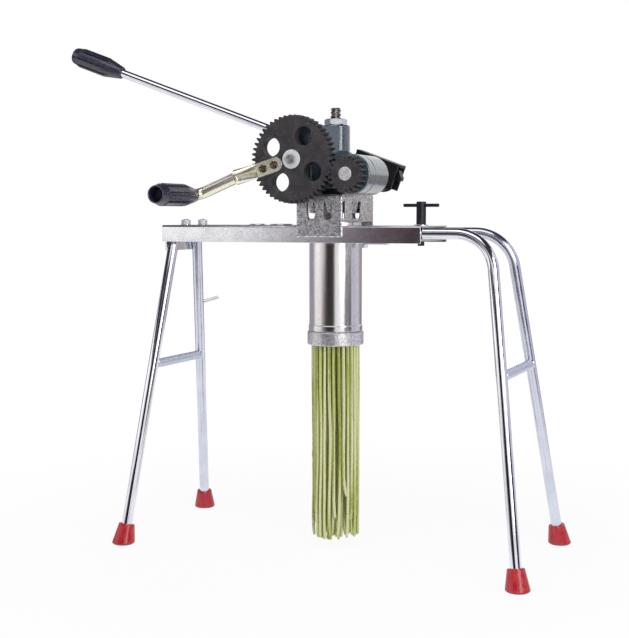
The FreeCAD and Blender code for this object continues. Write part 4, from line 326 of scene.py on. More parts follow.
def gold_zinc():
    """Yellow passivated zinc: pale gold drifting to cream and olive."""
    look = Look("gold_zinc", metallic=0.86)
    drift = look.noise(16, detail=4, distortion=0.6)
    fine = look.noise(1.4, detail=3)
    base = look.ramp(drift, [(0.25, (0.80, 0.74, 0.50)), (0.5, (0.93, 0.88, 0.72)),
                             (0.75, (0.97, 0.94, 0.86))])
    base = look.mix(look.span(fine, 0, 0.2, 0.58, 0.78), base, (0.60, 0.53, 0.38))
    look.bump(fine, 0.015, 0.2)
    return look.done(base, look.span(drift, 0.16, 0.26, 0.3, 0.7))


def black_plastic():
    """Moulded grips: blue-black, softly shining, finely grained."""
    look = Look("black_plastic", Specular_IOR_Level=0.95)
    cloud = look.noise(8, detail=4)
    grain = look.noise(0.6, detail=2)
    base = look.ramp(cloud, [(0.3, (0.017, 0.017, 0.038)), (0.7, (0.036, 0.034, 0.072))])
    # Painted highlight: the edges of the ribs are painted lavender.
    base = look.mix(look.edges(0.5), base, (0.15, 0.145, 0.22))
    look.bump(grain, 0.05, 0.45)
    return look.done(base, look.span(cloud, 0.24, 0.36, 0.3, 0.7))


def dough():
    """Spinach dough: matt, finely pitted, dusted with flour, each strand a little different."""
    look = Look("dough", Specular_IOR_Level=0.35)
    strand = look.noise(5.5, detail=1, stretch=(1, 1, 40))
    cloud = look.noise(5, detail=4)
    rope = look.noise(1.5, detail=2, rough=0.7, stretch=(2.2, 2.2, 0.8))
    base = look.ramp(strand, [(0.36, (0.40, 0.46, 0.08)), (0.47, (0.72, 0.76, 0.26)),
                              (0.58, (0.96, 0.97, 0.58))])
    base = look.mix(look.span(cloud, 0, 0.5, 0.5, 0.75), base, (0.97, 0.98, 0.66))
    base = look.mix(look.span(rope, 0, 0.5, 0.54, 0.72), base, (0.36, 0.38, 0.07))
    look.bump(cloud, 0.2, 0.4)
    look.bump(rope, 0.35, 0.8)
    return look.done(base, look.span(cloud, 0.62, 0.85, 0.3, 0.7))


def seal_rubber():
    """A moulded black ring, faintly greased."""
    look = Look("seal", Specular_IOR_Level=0.45)
    cloud = look.noise(4, detail=3)
    base = look.ramp(cloud, [(0.3, (0.020, 0.020, 0.022)), (0.7, (0.045, 0.044, 0.048))])
    look.bump(cloud, 0.05, 0.3)
    return look.done(base, look.span(cloud, 0.35, 0.55, 0.3, 0.7))


LOOKS = {
    "zinc_sheet": zinc_sheet(),
    "bracket_sheet": bracket_sheet(),
    "chrome_tube": chrome("chrome_tube", (0.72, 0.72, 0.79), (0.82, 0.82, 0.88), 0.05, 0.11),
    # Painted shade: a darker, bluer copy of the chrome, also rougher, for the rear legs further
    # back.
    "chrome_dull_shaded": chrome("chrome_dull_shaded", (0.62, 0.64, 0.75), (0.72, 0.74, 0.84), 0.16, 0.26),
    "red_rubber": rubber(),
    "zinc_fastener": plated("zinc_fastener", (0.62, 0.65, 0.68), (0.78, 0.81, 0.84), 0.20, 0.36),
    "black_steel": black_steel(),
    "black_iron": black_iron(),
    "slate_paint": slate_paint(),
    "matt_zinc": plated("matt_zinc", (0.84, 0.85, 0.86), (0.92, 0.93, 0.94), 0.40, 0.52, 0.2),
    "brace_zinc": plated("brace_zinc", (0.60, 0.64, 0.78), (0.70, 0.74, 0.86), 0.40, 0.52, 0.6),
    "head_zinc": plated("head_zinc", (0.40, 0.40, 0.38), (0.60, 0.60, 0.56), 0.24, 0.36, 0.8),
    "shaft_zinc": plated("shaft_zinc", (0.62, 0.62, 0.64), (0.92, 0.92, 0.94), 0.30, 0.50, 0.45),
    "bronze": plated("bronze", (0.50, 0.30, 0.11), (0.66, 0.44, 0.19), 0.24, 0.40),
    "bright_steel": plated("bright_steel", (0.60, 0.60, 0.63), (0.80, 0.80, 0.83), 0.22, 0.40),
    "screw_steel": plated("screw_steel", (0.17, 0.14, 0.13), (0.34, 0.31, 0.31), 0.14, 0.26),
    "dark_screw": plated("dark_screw", (0.10, 0.075, 0.05), (0.30, 0.24, 0.17), 0.14, 0.26),
    # Painted shade: near-black for the nut and spindle end that sit in the shade of the crank
    # grip's recess.
    "recess_shade_nut": plated("recess_shade_nut", (0.02, 0.02, 0.03), (0.05, 0.05, 0.07), 0.35, 0.5),
    "stainless": stainless(),
    "satin_steel": satin_steel(),
    "gold_zinc": gold_zinc(),
    "black_plastic": black_plastic(),
    "seal": seal_rubber(),
    "dough": dough(),
}
# Nodes whose finish differs from what their slot usually has; for the rear legs, and for the
# spindle nut and spindle end in the crank grip's recess, the darker look is painted shade.
OWN_LOOK = {
    "left_leg_rear": "chrome_dull_shaded", "right_leg_rear": "chrome_dull_shaded",
    "left_brace": "brace_zinc", "right_brace": "brace_zinc", "gear_washer": "matt_zinc",
    "gear_stud_bolt": "head_zinc", "worm_shaft": "shaft_zinc",
    "die_cap": "satin_steel", "die_disc": "satin_steel", "head_bracket": "bracket_sheet",
    "lead_screw": "screw_steel", "spindle_nut": "recess_shade_nut", "crank_spindle": "recess_shade_nut",
    "crank_screws": "dark_screw",
}


def dress(piece, look):
    """Give a piece one look in place of what it had."""
    piece.data.materials.clear()
    piece.data.materials.append(LOOKS[look])


NODE_SLOT = {row["node"]: row["material_slot"] for row in frame["record"]["subparts"]}
for node, piece in NODES.items():
    dress(piece, OWN_LOOK.get(node, NODE_SLOT[node]))


# ------------------------------------------------------------------- geometry
def make(name, vertices, faces, node, look=None, smooth=35):
    """A mesh piece in millimetres that rides where its node does and takes the node's slot."""
    mesh = bpy.data.meshes.new(name)
    mesh.from_pydata([[c * MM for c in v] for v in vertices], [], faces)
    mesh.validate()
    piece = bpy.data.objects.new(name, mesh)
    bpy.context.scene.collection.objects.link(piece)
    return settle(piece, node, look, smooth)


def settle(piece, node, look=None, smooth=35):
    """Give a piece its shading, material, body and slot."""
    mesh = piece.data
    work = bmesh.new()
    work.from_mesh(mesh)
    bmesh.ops.remove_doubles(work, verts=work.verts, dist=1e-6)
    bmesh.ops.recalc_face_normals(work, faces=work.faces)
    for face in work.faces:
        face.smooth = True
    for edge in work.edges:
        edge.smooth = edge.calc_face_angle(math.pi) < math.radians(smooth)
    work.to_mesh(mesh)
    work.free()
    dress(piece, look or OWN_LOOK.get(node, NODE_SLOT[node]))
    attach(piece, BODY_OF[node])
    return piece


def turned_solid(profile, steps=64):
    """Vertices and faces of a closed profile of (radius, height) turned about +Z."""
    vertices, faces = [], []
    for radius, height in profile:
        for step in range(steps):
            a = TAU * step / steps
            vertices.append((radius * math.cos(a), radius * math.sin(a), height))
    rows = len(profile)
    for row in range(rows - 1):
        for step in range(steps):
            a, b = row * steps + step, row * steps + (step + 1) % steps
            faces.append((a, b, b + steps, a + steps))
    return vertices, faces


def placed(vertices, place):
    return [tuple(place @ Vector(v)) for v in vertices]


def towards(origin, axis, twist=0.0):
    """A placement that sends +Z to axis and the origin to a point, in millimetres."""
    turn = Vector(axis).to_track_quat("Z", "Y").to_matrix().to_4x4()
    return Matrix.Translation(origin) @ turn @ Matrix.Rotation(math.radians(twist), 4, "Z")


def joined(*parts):
    vertices, faces = [], []
    for more, others in parts:
        base = len(vertices)
        vertices += more
        faces += [tuple(i + base for i in face) for face in others]
    return vertices, faces


def sweep(points, radii, sides, wobble):
    """A round bar along points with closed ends; wobble(index, side) scales its radius."""
    vertices, faces = [], []
    previous = None
    for index, point in enumerate(points):
        ahead = points[min(index + 1, len(points) - 1)]
        behind = points[max(index - 1, 0)]
        along = (Vector(ahead) - Vector(behind)).normalized()
        across = previous or along.orthogonal().normalized()
        across = (across - along * across.dot(along)).normalized()
        previous = across
        other = along.cross(across)
        for side in range(sides):
            a = TAU * side / sides
            r = radii[index] * wobble(index, side)
            vertices.append(tuple(Vector(point) + across * (r * math.cos(a))
                                  + other * (r * math.sin(a))))
    for row in range(len(points) - 1):
        for side in range(sides):
            a, b = row * sides + side, row * sides + (side + 1) % sides
            faces.append((a, b, b + sides, a + sides))
    last = (len(points) - 1) * sides
    faces.append(tuple(reversed(range(sides))))
    faces.append(tuple(last + side for side in range(sides)))
    return vertices, faces


def hex_piece(flats, low, high, bore=0.0, steps=72):
    """A nut or bolt head from low to high with its corners turned off at 30 degrees."""
    face_radius = 0.97 * flats / 2
    slope = math.tan(math.radians(30))
    rings = [[] for _ in range(6)]
    for step in range(steps):
        a = TAU * step / steps
        off = (a + math.pi / 6) % (math.pi / 3) - math.pi / 6
        edge = flats / 2 / math.cos(off)
        drop = (edge - face_radius) * slope
        profile = ((bore, low), (face_radius, low), (edge, low + drop),
                   (edge, high - drop), (face_radius, high), (bore, high))
        for ring, (radius, z) in zip(rings, profile):
            ring.append((radius * math.cos(a), radius * math.sin(a), z))
    vertices = [v for ring in rings for v in ring]
    faces = []
    for row in range(6):
        following = (row + 1) % 6
        if following == 0 and bore == 0:
            continue
        for step in range(steps):
            nxt = (step + 1) % steps
            faces.append((row * steps + step, row * steps + nxt,
                          following * steps + nxt, following * steps + step))
    return vertices, faces


def threaded(radius, pitch, depth, low, high, flat, sides, slot):
    """A screw from low to high along +Z with a real helix and a slot down it.

    flat is the share of the pitch that the crest takes; slot is (angle, width, depth).
    """
    shares = [(0.0, 0), (flat, 0), (0.5, 1), (0.5 + flat, 1)]
    turns = int((high - low) / pitch) + 3
    middle, width, deep = slot
    half = math.asin(width / 2 / radius)
    wall, clear = math.radians(0.4), math.radians(3)
    keep = [a for a in (TAU * side / sides for side in range(sides))
            if abs((a - middle + math.pi) % TAU - math.pi) > half + clear]
    edges = [middle - half - wall, middle - half, middle + half, middle + half + wall]
    angles = sorted(a % TAU for a in keep + edges)
    cut = {round(a % TAU, 9): radius - deep for a in edges[1:3]}
    vertices, faces = [], []
    rows = []
    for turn in range(-1, turns):
        for share, down in shares:
            rows.append(((turn + share) * pitch, radius - depth * down))
    for z, r in rows:
        for a in angles:
            height = min(max(low + z + pitch * a / TAU - pitch, low), high)
            here = min(r, cut.get(round(a, 9), r))
            vertices.append((here * math.cos(a), here * math.sin(a), height))
    count = len(angles)
    for row in range(len(rows) - 1):
        for side in range(count - 1):
            a = row * count + side
            faces.append((a, a + 1, a + 1 + count, a + count))
    per_turn = len(shares)
    for row in range(len(rows) - per_turn - 1):
        a, b = row * count + count - 1, (row + per_turn) * count
        c, d = (row + 1) * count + count - 1, (row + per_turn + 1) * count
        faces.append((a, b, d, c))
    core = radius - max(depth, deep) - 0.2
    ends, end_faces = turned_solid([(0, low), (core, low), (core, high), (0, high)], 24)
    return joined((vertices, faces), (ends, end_faces))


def weigh_normals(mesh):
    """Shade each smooth patch mainly by its largest faces, so that flat faces stay flat."""
    work = bmesh.new()
    work.from_mesh(mesh)
    limit = math.cos(math.radians(50))
    place_of, weight = {}, {}
    for face in work.faces:
        face.smooth = True
        weight[face] = face.normal * face.calc_area()
        for loop in face.loops:
            place_of[loop] = len(place_of)
    for edge in work.edges:
        pair = edge.link_faces
        edge.smooth = len(pair) == 2 and pair[0].normal.dot(pair[1].normal) > limit
    normals = [None] * len(place_of)
    for vertex in work.verts:
        waiting = {loop.face: loop for loop in vertex.link_loops}
        while waiting:
            face, loop = waiting.popitem()
            patch, queue = [loop], [loop]
            while queue:
                here = queue.pop()
                for edge in (here.edge, here.link_loop_prev.edge):
                    for other in edge.link_faces:
                        if edge.smooth and other in waiting:
                            found = waiting.pop(other)
                            patch.append(found)
                            queue.append(found)
            total = sum((weight[one.face] for one in patch), Vector())
            for one in patch:
                normals[place_of[one]] = tuple(total.normalized())
    work.to_mesh(mesh)
    work.free()
    mesh.normals_split_custom_set(normals)


SHARP = math.radians(32)
FOLD_RADIUS = 2.0


def eased(node, width, folded=None):
    """A node's shape again with its sharp edges really rounded off; it stands for the node.

    folded(middle, along) picks the edges, in millimetres, that get the wider FOLD_RADIUS.
    """
    mesh = NODES[node].data.copy()
    mesh.name = node + "_eased"
    work = bmesh.new()
    work.from_mesh(mesh)
    bmesh.ops.remove_doubles(work, verts=work.verts, dist=2e-6)
    bmesh.ops.dissolve_limit(work, angle_limit=math.radians(0.6), verts=work.verts,
                             edges=work.edges)

    def sharp():
        return [e for e in work.edges
                if len(e.link_faces) == 2 and e.calc_face_angle(0) > SHARP]

    def round_off(edges, radius, segments):
        bmesh.ops.bevel(work, geom=edges, offset=radius * MM, segments=segments, profile=0.5,
                        affect="EDGES", clamp_overlap=False, offset_type="OFFSET")

    if folded:
        picked = []
        for edge in sharp():
            a, b = (v.co / MM for v in edge.verts)
            if folded((a + b) / 2, b - a):
                picked.append(edge)
        round_off(picked, FOLD_RADIUS, 5)
    round_off(sharp(), width, 2)
    bmesh.ops.triangulate(work, faces=[f for f in work.faces if len(f.verts) > 4])
    work.to_mesh(mesh)
    work.free()
    piece = bpy.data.objects.new(node + "_eased", mesh)
    bpy.context.scene.collection.objects.link(piece)
    settle(piece, node)
    weigh_normals(mesh)
    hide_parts(node)


# ---------------------------------------------------------------- the noodles
NOODLE_TOP = 318.0
# The strands stay inside this radius, which is the mouth of the cap.
BUNDLE_RADIUS = 37.7


def noodles():
    """91 strands hang from the die, nearly straight, with loose ends of their own lengths."""
    rng = random.Random(41)
    pitch, rings = 6.95, 5
    holes = [(0.0, 0.0)]
    for ring in range(1, rings + 1):
        for k in range(6 * ring):
            a = TAU * k / (6 * ring)
            holes.append((ring * pitch * math.cos(a), ring * pitch * math.sin(a)))
    top, step = NOODLE_TOP, 2.6
    parts = []
    for x, y in holes:
        end = rng.uniform(12.3, 18) if rng.random() < 0.74 else rng.uniform(18, 52)
        hook = 0.0
        if x < -32 and y < 1:
            end, hook = (132, -3.4) if y > -9 else (96, -1.4)
        if x > 18 and y < 10 and rng.random() < 0.55:
            end, hook = rng.uniform(30, 88), rng.uniform(1.5, 7)
        thick = rng.uniform(2.35, 2.62)
        seed = rng.uniform(0, 100)
        sway = (rng.uniform(-1, 1), rng.uniform(-1, 1))
        curl = (rng.uniform(-1, 1), rng.uniform(-1, 1))
        count = int((top - end) / step)
        points, radii = [], []
        for k in range(count + 1):
            z = top - (top - end) * k / count
            hang = min(1.0, (top - z) / 150)
            field = noise.noise_vector(Vector((x / 40, y / 40, z / 150)))
            own = noise.noise_vector(Vector((seed, z / 75, 0.3)))
            low = max(0.0, 1 - (z - end) / 34)
            px = x + hang * (1.2 + 2.2 * field.x + 1.2 * own.x + 1.2 * sway[0])
            py = y + hang * (2.2 * field.y + 1.2 * own.y + 1.2 * sway[1])
            px += (3.4 * curl[0] + hook) * low * low
            py += 3.4 * curl[1] * low * low
            reach = math.hypot(px, py)
            limit = BUNDLE_RADIUS - thick
            if reach > limit:
                px, py = px * limit / reach, py * limit / reach
            points.append((px, py, z))
            swell = 1 + 0.05 * noise.noise(Vector((seed * 3, z / 9, 1.7)))
            radii.append(thick * swell * (0.97 if k else 0.9))
        radii[-1] *= 0.6
        radii[-2] *= 0.94

        def pitted(index, side, seed=seed):
            return 1 + 0.06 * noise.noise(Vector((index * 1.7, side * 1.3, seed)))

        parts.append(sweep(points, radii, 8, pitted))
    piece = make("noodle_strands", *joined(*parts), node="noodle_bundle", smooth=80)
    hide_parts("noodle_bundle")


# ------------------------------------------------------------------ the screws
def lead_screw():
    low, high = 330.0, 671.5
    keyway = math.radians(-90 + 29)
    body = threaded(8.0, 6.0, 1.4, low, high - 1.2, 0.22, 60, (keyway, 3.3, 3.0))
    tip = turned_solid([(0, high - 1.5), (6.6, high - 1.5), (6.0, high), (0, high)], 40)
    piece = make("lead_screw_threaded", *joined(body, tip), node="lead_screw", smooth=25)
    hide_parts("lead_screw")


ALONG_Y = Matrix.Rotation(math.radians(-90), 4, "X")
# The drive gear's axis and the grip's axis, as (x, z), and how far the crank dips.
GEAR_CENTRE = (-31.636, 591.204)
GRIP_CENTRE = (-183.390, 538.945)
CRANK_DIP = 16.6


def tower_nut():
    vertices, faces = hex_piece(30.0, 645.5, 654.9, bore=8.35)
    turn = Matrix.Rotation(math.radians(-7), 4, "Z")
    piece = make("tower_nut_chamfered", placed(vertices, turn), faces, "tower_nut")
    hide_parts("tower_nut")


def stud_bolt():
    """The hexagon bolt in the gear's stud, with a turned washer behind it."""
    x, z = GEAR_CENTRE
    turn = Matrix.Rotation(math.radians(8), 4, "Z")
    place = Matrix.Translation((x, -101.1, z)) @ ALONG_Y @ turn
    head = hex_piece(13.0, 0.0, 5.3)
    shank = turned_solid([(0, 5.0), (3.95, 5.0), (3.95, 20.0), (3.2, 21.0), (0, 21.0)], 40)
    vertices, faces = joined(head, shank)
    piece = make("stud_bolt_head", placed(vertices, place), faces, "gear_stud_bolt")
    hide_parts("gear_stud_bolt")
    ring = [(4.4, 0.25), (5.0, 0.0), (12.9, 0.0), (13.7, 0.3), (14.0, 0.8), (14.0, 1.6),
            (13.6, 2.0), (4.6, 2.0), (4.4, 1.8), (4.4, 0.25)]
    vertices, faces = turned_solid(ring, 72)
    place = Matrix.Translation((x, -95.8, z)) @ ALONG_Y
    piece = make("stud_washer_turned", placed(vertices, place), faces, "gear_washer")
    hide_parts("gear_washer")


def crank_screws():
    """Two domed screws with a cross recess."""
    across = math.radians(CRANK_DIP)
    parts = []
    for reach, twist in ((28.0, 20), (46.5, 55)):
        x = GEAR_CENTRE[0] - reach * math.cos(across)
        z = GEAR_CENTRE[1] - reach * math.sin(across)
        forward = Matrix.Rotation(math.radians(90), 4, "X")
        turn = Matrix.Rotation(math.radians(twist), 4, "Z")
        place = Matrix.Translation((x, -97.5, z)) @ forward @ turn
        radius, rise, rows, steps = 6.2, 2.8, 18, 72
        vertices, faces = [(0.0, 0.0, rise - 1.6)], []
        for row in range(1, rows + 1):
            r = radius * row / rows
            for step in range(steps):
                a = TAU * step / steps
                px, py = r * math.cos(a), r * math.sin(a)
                height = rise - 1.5 * (r / radius) ** 2.4
                narrow, long = min(abs(px), abs(py)), max(abs(px), abs(py))
                if narrow < 1.0 and long < 4.1:
                    height = rise - 1.6 + 0.35 * max(0.0, long - 1.2)
                vertices.append((px, py, max(height, 0.0)))
        for step in range(steps):
            faces.append((0, 1 + step, 1 + (step + 1) % steps))
        for row in range(rows - 1):
            for step in range(steps):
                a, b = 1 + row * steps + step, 1 + row * steps + (step + 1) % steps
                faces.append((a, a + steps, b + steps, b))
        base = len(vertices)
        for r, depth in ((radius, 0.0), (2.45, 0.0), (2.45, -15.5), (0.0, -15.5)):
            vertices += [(r * math.cos(TAU * s / steps), r * math.sin(TAU * s / steps), depth)
                         for s in range(steps)]
        ring = 1 + (rows - 1) * steps
        for row in (ring, base, base + steps, base + 2 * steps):
            following = base if row == ring else row + steps
            for step in range(steps):
                nxt = (step + 1) % steps
                faces.append((row + step, row + nxt, following + nxt, following + step))
        parts.append((placed(vertices, place), faces))
    piece = make("crank_screws_crossed", *joined(*parts), node="crank_screws", smooth=30)
    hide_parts("crank_screws")


# One rib and groove round a grip: (share of the way, depth from 0 on the rib to 1).
RIB = [(0.00, 0.5), (0.02, 0.12), (0.05, 0.0), (0.15, 0.0), (0.26, 0.0), (0.37, 0.0),
       (0.48, 0.0), (0.59, 0.0), (0.66, 0.0), (0.69, 0.12), (0.71, 0.5), (0.73, 0.9),
       (0.76, 1.0), (0.82, 1.0), (0.89, 1.0), (0.95, 1.0), (0.98, 0.9)]


def ribbed_grip(rows, inner, ribs=8):
    """A grip along +Z; rows are (height, radius on a rib, radius in a groove)."""
    vertices, faces = [], []
    steps = ribs * len(RIB)
    for height, high, low in rows + [(h, r, r) for h, r in inner]:
        for rib in range(ribs):
            for share, depth in RIB:
                a = TAU * (rib + share) / ribs
                r = high + (low - high) * depth
                vertices.append((r * math.cos(a), r * math.sin(a), height))
    count = len(rows) + len(inner)
    for row in range(count - 1):
        for step in range(steps):
            a, b = row * steps + step, row * steps + (step + 1) % steps
            faces.append((a, b, b + steps, a + steps))
    return vertices, faces


def grip_rows(collar, ribs_end, length, radius, neck):
    """The outside of a grip from its collar to its neck."""
    rows = [(collar - 0.5, radius - 1.0, radius - 1.0), (collar, radius - 1.0, radius - 1.3),
            (collar + 0.15, radius - 0.4, radius - 2.6), (collar + 0.6, radius, radius - 3.1)]
    for k in range(1, 9):
        rows.append((collar + 0.6 + (ribs_end - collar - 0.6) * k / 8, radius, radius - 3.1))
    taper = length - ribs_end
    for k in range(1, 13):
        share = k / 12
        outside = radius + (neck - radius) * share
        depth = 3.1 * max(0.0, 1 - share / 0.45)
        rows.append((ribs_end + (taper - 1) * share, outside, outside - depth))
    rows.append((length, neck - 0.5, neck - 0.5))
    return rows


def crank_grip():
    rows = [(0.0, 11.5, 11.5), (0.0, 12.3, 12.3), (0.4, 12.9, 12.9), (1.2, 13.1, 13.1),
            (8.0, 14.2, 14.2)]
    rows += grip_rows(16.0, 78.0, 110.0, 16.5, 10.75)
    inner = [(110.0, 9.8), (109.6, 9.65), (99.9, 9.65), (99.9, 4.56), (18.0, 4.56),
             (18.0, 11.0), (0.6, 11.0), (0.0, 11.5)]
    vertices, faces = ribbed_grip(rows, inner)
    place = Matrix.Translation((GRIP_CENTRE[0], -226.0, GRIP_CENTRE[1])) @ ALONG_Y
    piece = make("crank_grip_ribbed", placed(vertices, place), faces, "crank_grip", smooth=30)
    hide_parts("crank_grip")


def lever_grip():
    rows = [(0.0, 0.0, 0.0), (0.1, 5.0, 5.0), (0.4, 9.0, 9.0), (1.0, 11.6, 11.6),
            (2.0, 12.9, 12.9), (4.0, 13.7, 13.7), (9.0, 14.6, 14.6)]
    rows += grip_rows(15.0, 67.0, 99.0, 16.5, 10.0)
    inner = [(99.0, 6.8), (98.6, 6.52), (6.0, 6.52), (6.0, 0.0)]
    vertices, faces = ribbed_grip(rows, inner)
    rise = math.radians(20.2)
    out = Vector((-math.cos(rise), 0, math.sin(rise)))
    up = Vector((math.sin(rise), 0, math.cos(rise)))
    tip = Vector((53.0, 55.0, 569.0)) + 596.0 * out + 7.7 * up
    vertices = placed(vertices, towards(tip, -out, 10))
    piece = make("lever_grip_ribbed", vertices, faces, "lever_grip", smooth=30)
    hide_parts("lever_grip")


# -------------------------------------------------------------------- the welds
def weld_ring(centre, axis, radius, thick, seed):
    """A rough closed bead round a bar where it meets another."""
    place = towards(centre, axis)
    steps, sides = 40, 8
    vertices, faces = [], []
    for step in range(steps):
        a = TAU * step / steps
        lump = noise.noise(Vector((3 * math.cos(a), 3 * math.sin(a), seed)))
        ripple = 0.14 * math.sin(13 * a + seed)
        for side in range(sides):
            b = TAU * side / sides
            r = thick * (1 + 0.25 * lump + ripple)
            reach = radius + r * math.cos(b)
            vertices.append((reach * math.cos(a), reach * math.sin(a), r * math.sin(b)))
    for step in range(steps):
        for side in range(sides):
            a, b = step * sides + side, step * sides + (side + 1) % sides
            following = (step + 1) % steps * sides
            faces.append((a, b, following + (side + 1) % sides, following + side))
    return placed(vertices, place), faces


def welds():
    """Beads at the ends of both braces and at the peg."""
    for side, (x, y, z), seed in (("left", (-278.1, 69.6, 276.0), 2),
                                  ("right", (284.2, 78.6, 285.0), 7)):
        ends = [weld_ring((x, sign * y, z), (0, 1, 0), 7.0, 1.3, seed + sign)
                for sign in (-1, 1)]
        make(f"weld_{side}_brace", *joined(*ends), node=f"{side}_brace", look="chrome_tube",
             smooth=60)
    make("weld_peg", *weld_ring((-270.5, 67.2, 364.5), (0, 1, 0.07), 3.1, 1.0, 12),
         node="hanging_peg", look="chrome_tube", smooth=60)


# ------------------------------------------------------------------- the studio
AMBIENT = 0.40


def surroundings():
    """White to the camera and in mirrors, and a dimmer light for everything else."""
    world = bpy.data.worlds.new("studio")
    bpy.context.scene.world = world
    world.use_nodes = True
    tree = world.node_tree
    tree.nodes.clear()
    out = tree.nodes.new("ShaderNodeOutputWorld")
    seen, ambient = (tree.nodes.new("ShaderNodeBackground") for _ in range(2))
    seen.inputs["Strength"].default_value = 1.0
    seen.inputs["Color"].default_value = (1, 1, 1, 1)
    ambient.inputs["Color"].default_value = (0.96, 0.96, 1.0, 1)
    ambient.inputs["Strength"].default_value = AMBIENT
    mix = tree.nodes.new("ShaderNodeMixShader")
    tree.links.new(sees_background(tree), mix.inputs["Fac"])
    tree.links.new(ambient.outputs[0], mix.inputs[1])
    tree.links.new(seen.outputs[0], mix.inputs[2])
    tree.links.new(mix.outputs[0], out.inputs["Surface"])


def sees_background(tree):
    """1 for camera, glossy and transmission rays, which see the pale background itself."""
    path = tree.nodes.new("ShaderNodeLightPath")
    total = path.outputs["Is Camera Ray"]
    for other in ("Is Glossy Ray", "Is Transmission Ray"):
        node = tree.nodes.new("ShaderNodeMath")
        node.operation, node.use_clamp = "ADD", True
        tree.links.new(total, node.inputs[0])
        tree.links.new(path.outputs[other], node.inputs[1])
        total = node.outputs[0]
    return total


def floor():
    """A white disc that takes shadows and fades into the background further out."""
    radius, steps = 5.0, 48
    mesh = bpy.data.meshes.new("floor")
    ring = [(radius * math.cos(TAU * k / steps), radius * math.sin(TAU * k / steps), 0)
            for k in range(steps)]
    mesh.from_pydata(ring, [], [tuple(range(steps))])
    item = bpy.data.objects.new("floor", mesh)
    bpy.context.scene.collection.objects.link(item)
    material = bpy.data.materials.new("floor")
    material.use_nodes = True
    tree = material.node_tree
    shader = tree.nodes["Principled BSDF"]
    shader.inputs["Base Color"].default_value = (0.86, 0.86, 0.87, 1)
    shader.inputs["Roughness"].default_value = 0.9
    shader.inputs["Specular IOR Level"].default_value = 0.0
    glow = tree.nodes.new("ShaderNodeEmission")
    glow.inputs["Strength"].default_value = 1.02
    mix = tree.nodes.new("ShaderNodeMixShader")
    place = tree.nodes.new("ShaderNodeTexCoord")
    reach = tree.nodes.new("ShaderNodeVectorMath")
    reach.operation = "LENGTH"
    tree.links.new(place.outputs["Object"], reach.inputs[0])
    fade = tree.nodes.new("ShaderNodeMapRange")
    for socket, number in (("From Min", 0.35), ("From Max", 1.25),
                           ("To Min", 0.91), ("To Max", 1.0)):
        fade.inputs[socket].default_value = number
    tree.links.new(reach.outputs["Value"], fade.inputs["Value"])
    share = tree.nodes.new("ShaderNodeMath")
    share.operation = "MULTIPLY"
    tree.links.new(sees_background(tree), share.inputs[0])
    tree.links.new(fade.outputs["Result"], share.inputs[1])
    tree.links.new(share.outputs[0], mix.inputs["Fac"])
    tree.links.new(shader.outputs[0], mix.inputs[1])
    tree.links.new(glow.outputs[0], mix.inputs[2])
    tree.links.new(mix.outputs[0], tree.nodes["Material Output"].inputs["Surface"])
    item.data.materials.append(material)


def flag(name, vertices, faces, colour, strength=1.0):
    """A studio card: it shows only in reflections and throws no shadow."""
    mesh = bpy.data.meshes.new(name)
    mesh.from_pydata(vertices, [], faces)
    item = bpy.data.objects.new(name, mesh)
    bpy.context.scene.collection.objects.link(item)
    material = bpy.data.materials.new(name)
    material.use_nodes = True
    tree = material.node_tree
    glow = tree.nodes.new("ShaderNodeEmission")
    glow.inputs["Color"].default_value = (*colour, 1)
    glow.inputs["Strength"].default_value = strength
    tree.links.new(glow.outputs[0], tree.nodes["Material Output"].inputs["Surface"])
    mesh.materials.append(material)
    item.visible_camera = item.visible_diffuse = False
    item.visible_shadow = item.visible_transmission = False
    item.visible_volume_scatter = False


def card(name, corners, colour):
    flag(name, corners, [(0, 1, 2, 3)], colour)


def arc_flag(name, start, end, radius, low, high, colour, strength=1.0):
    """An upright flag round the object; angles in degrees from -Y towards +X."""
    steps = max(2, int(abs(end - start) / 6))
    vertices = []
    for k in range(steps + 1):
        a = math.radians(start + (end - start) * k / steps)
        for z in (low, high):
            vertices.append((radius * math.sin(a), -radius * math.cos(a), z))
    faces = [(2 * k, 2 * k + 2, 2 * k + 3, 2 * k + 1) for k in range(steps)]
    flag(name, vertices, faces, colour, strength)


def lamp(name, place, aim, size, radiance):
    """A rectangular lamp of one brightness, whatever its size in metres."""
    data = bpy.data.lights.new(name, "AREA")
    data.shape = "RECTANGLE"
    data.size, data.size_y = size
    data.energy = radiance * math.pi * size[0] * size[1]
    item = bpy.data.objects.new(name, data)
    item.location = place
    item.rotation_euler = (Vector(aim) - Vector(place)).to_track_quat("-Z", "Y").to_euler()
    bpy.context.scene.collection.objects.link(item)


# The dark front of the studio in steps: (from, to, colour), for the low and high part.
FRONT_RADIUS, FRONT_STEP, FRONT_TOP = 1.95, 0.36, 1.0
FRONT_LOW = [(-42.0, -38.0, (0.62, 0.60, 0.63)), (-38.0, -34.0, (0.40, 0.37, 0.39)),
             (-34.0, -30.0, (0.25, 0.21, 0.21)), (-30.0, -26.0, (0.16, 0.12, 0.11)),
             (-26.0, -22.0, (0.10, 0.07, 0.06)), (-22.0, -18.0, (0.055, 0.040, 0.036)),
             (-18.0, 18.3, (0.022, 0.018, 0.019))]
FRONT_HIGH = [(-28.0, -26.5, (0.72, 0.71, 0.74)), (-26.5, -25.0, (0.58, 0.57, 0.60)),
              (-25.0, -23.5, (0.46, 0.44, 0.48)), (-23.5, -22.0, (0.36, 0.34, 0.38)),
              (-22.0, -20.5, (0.26, 0.24, 0.27)), (-20.5, -19.0, (0.19, 0.16, 0.18)),
              (-19.0, -17.0, (0.14, 0.10, 0.12)), (-17.0, -15.0, (0.085, 0.058, 0.072)),
              (-15.0, -13.0, (0.050, 0.034, 0.045)), (-13.0, 18.3, (0.022, 0.020, 0.024))]


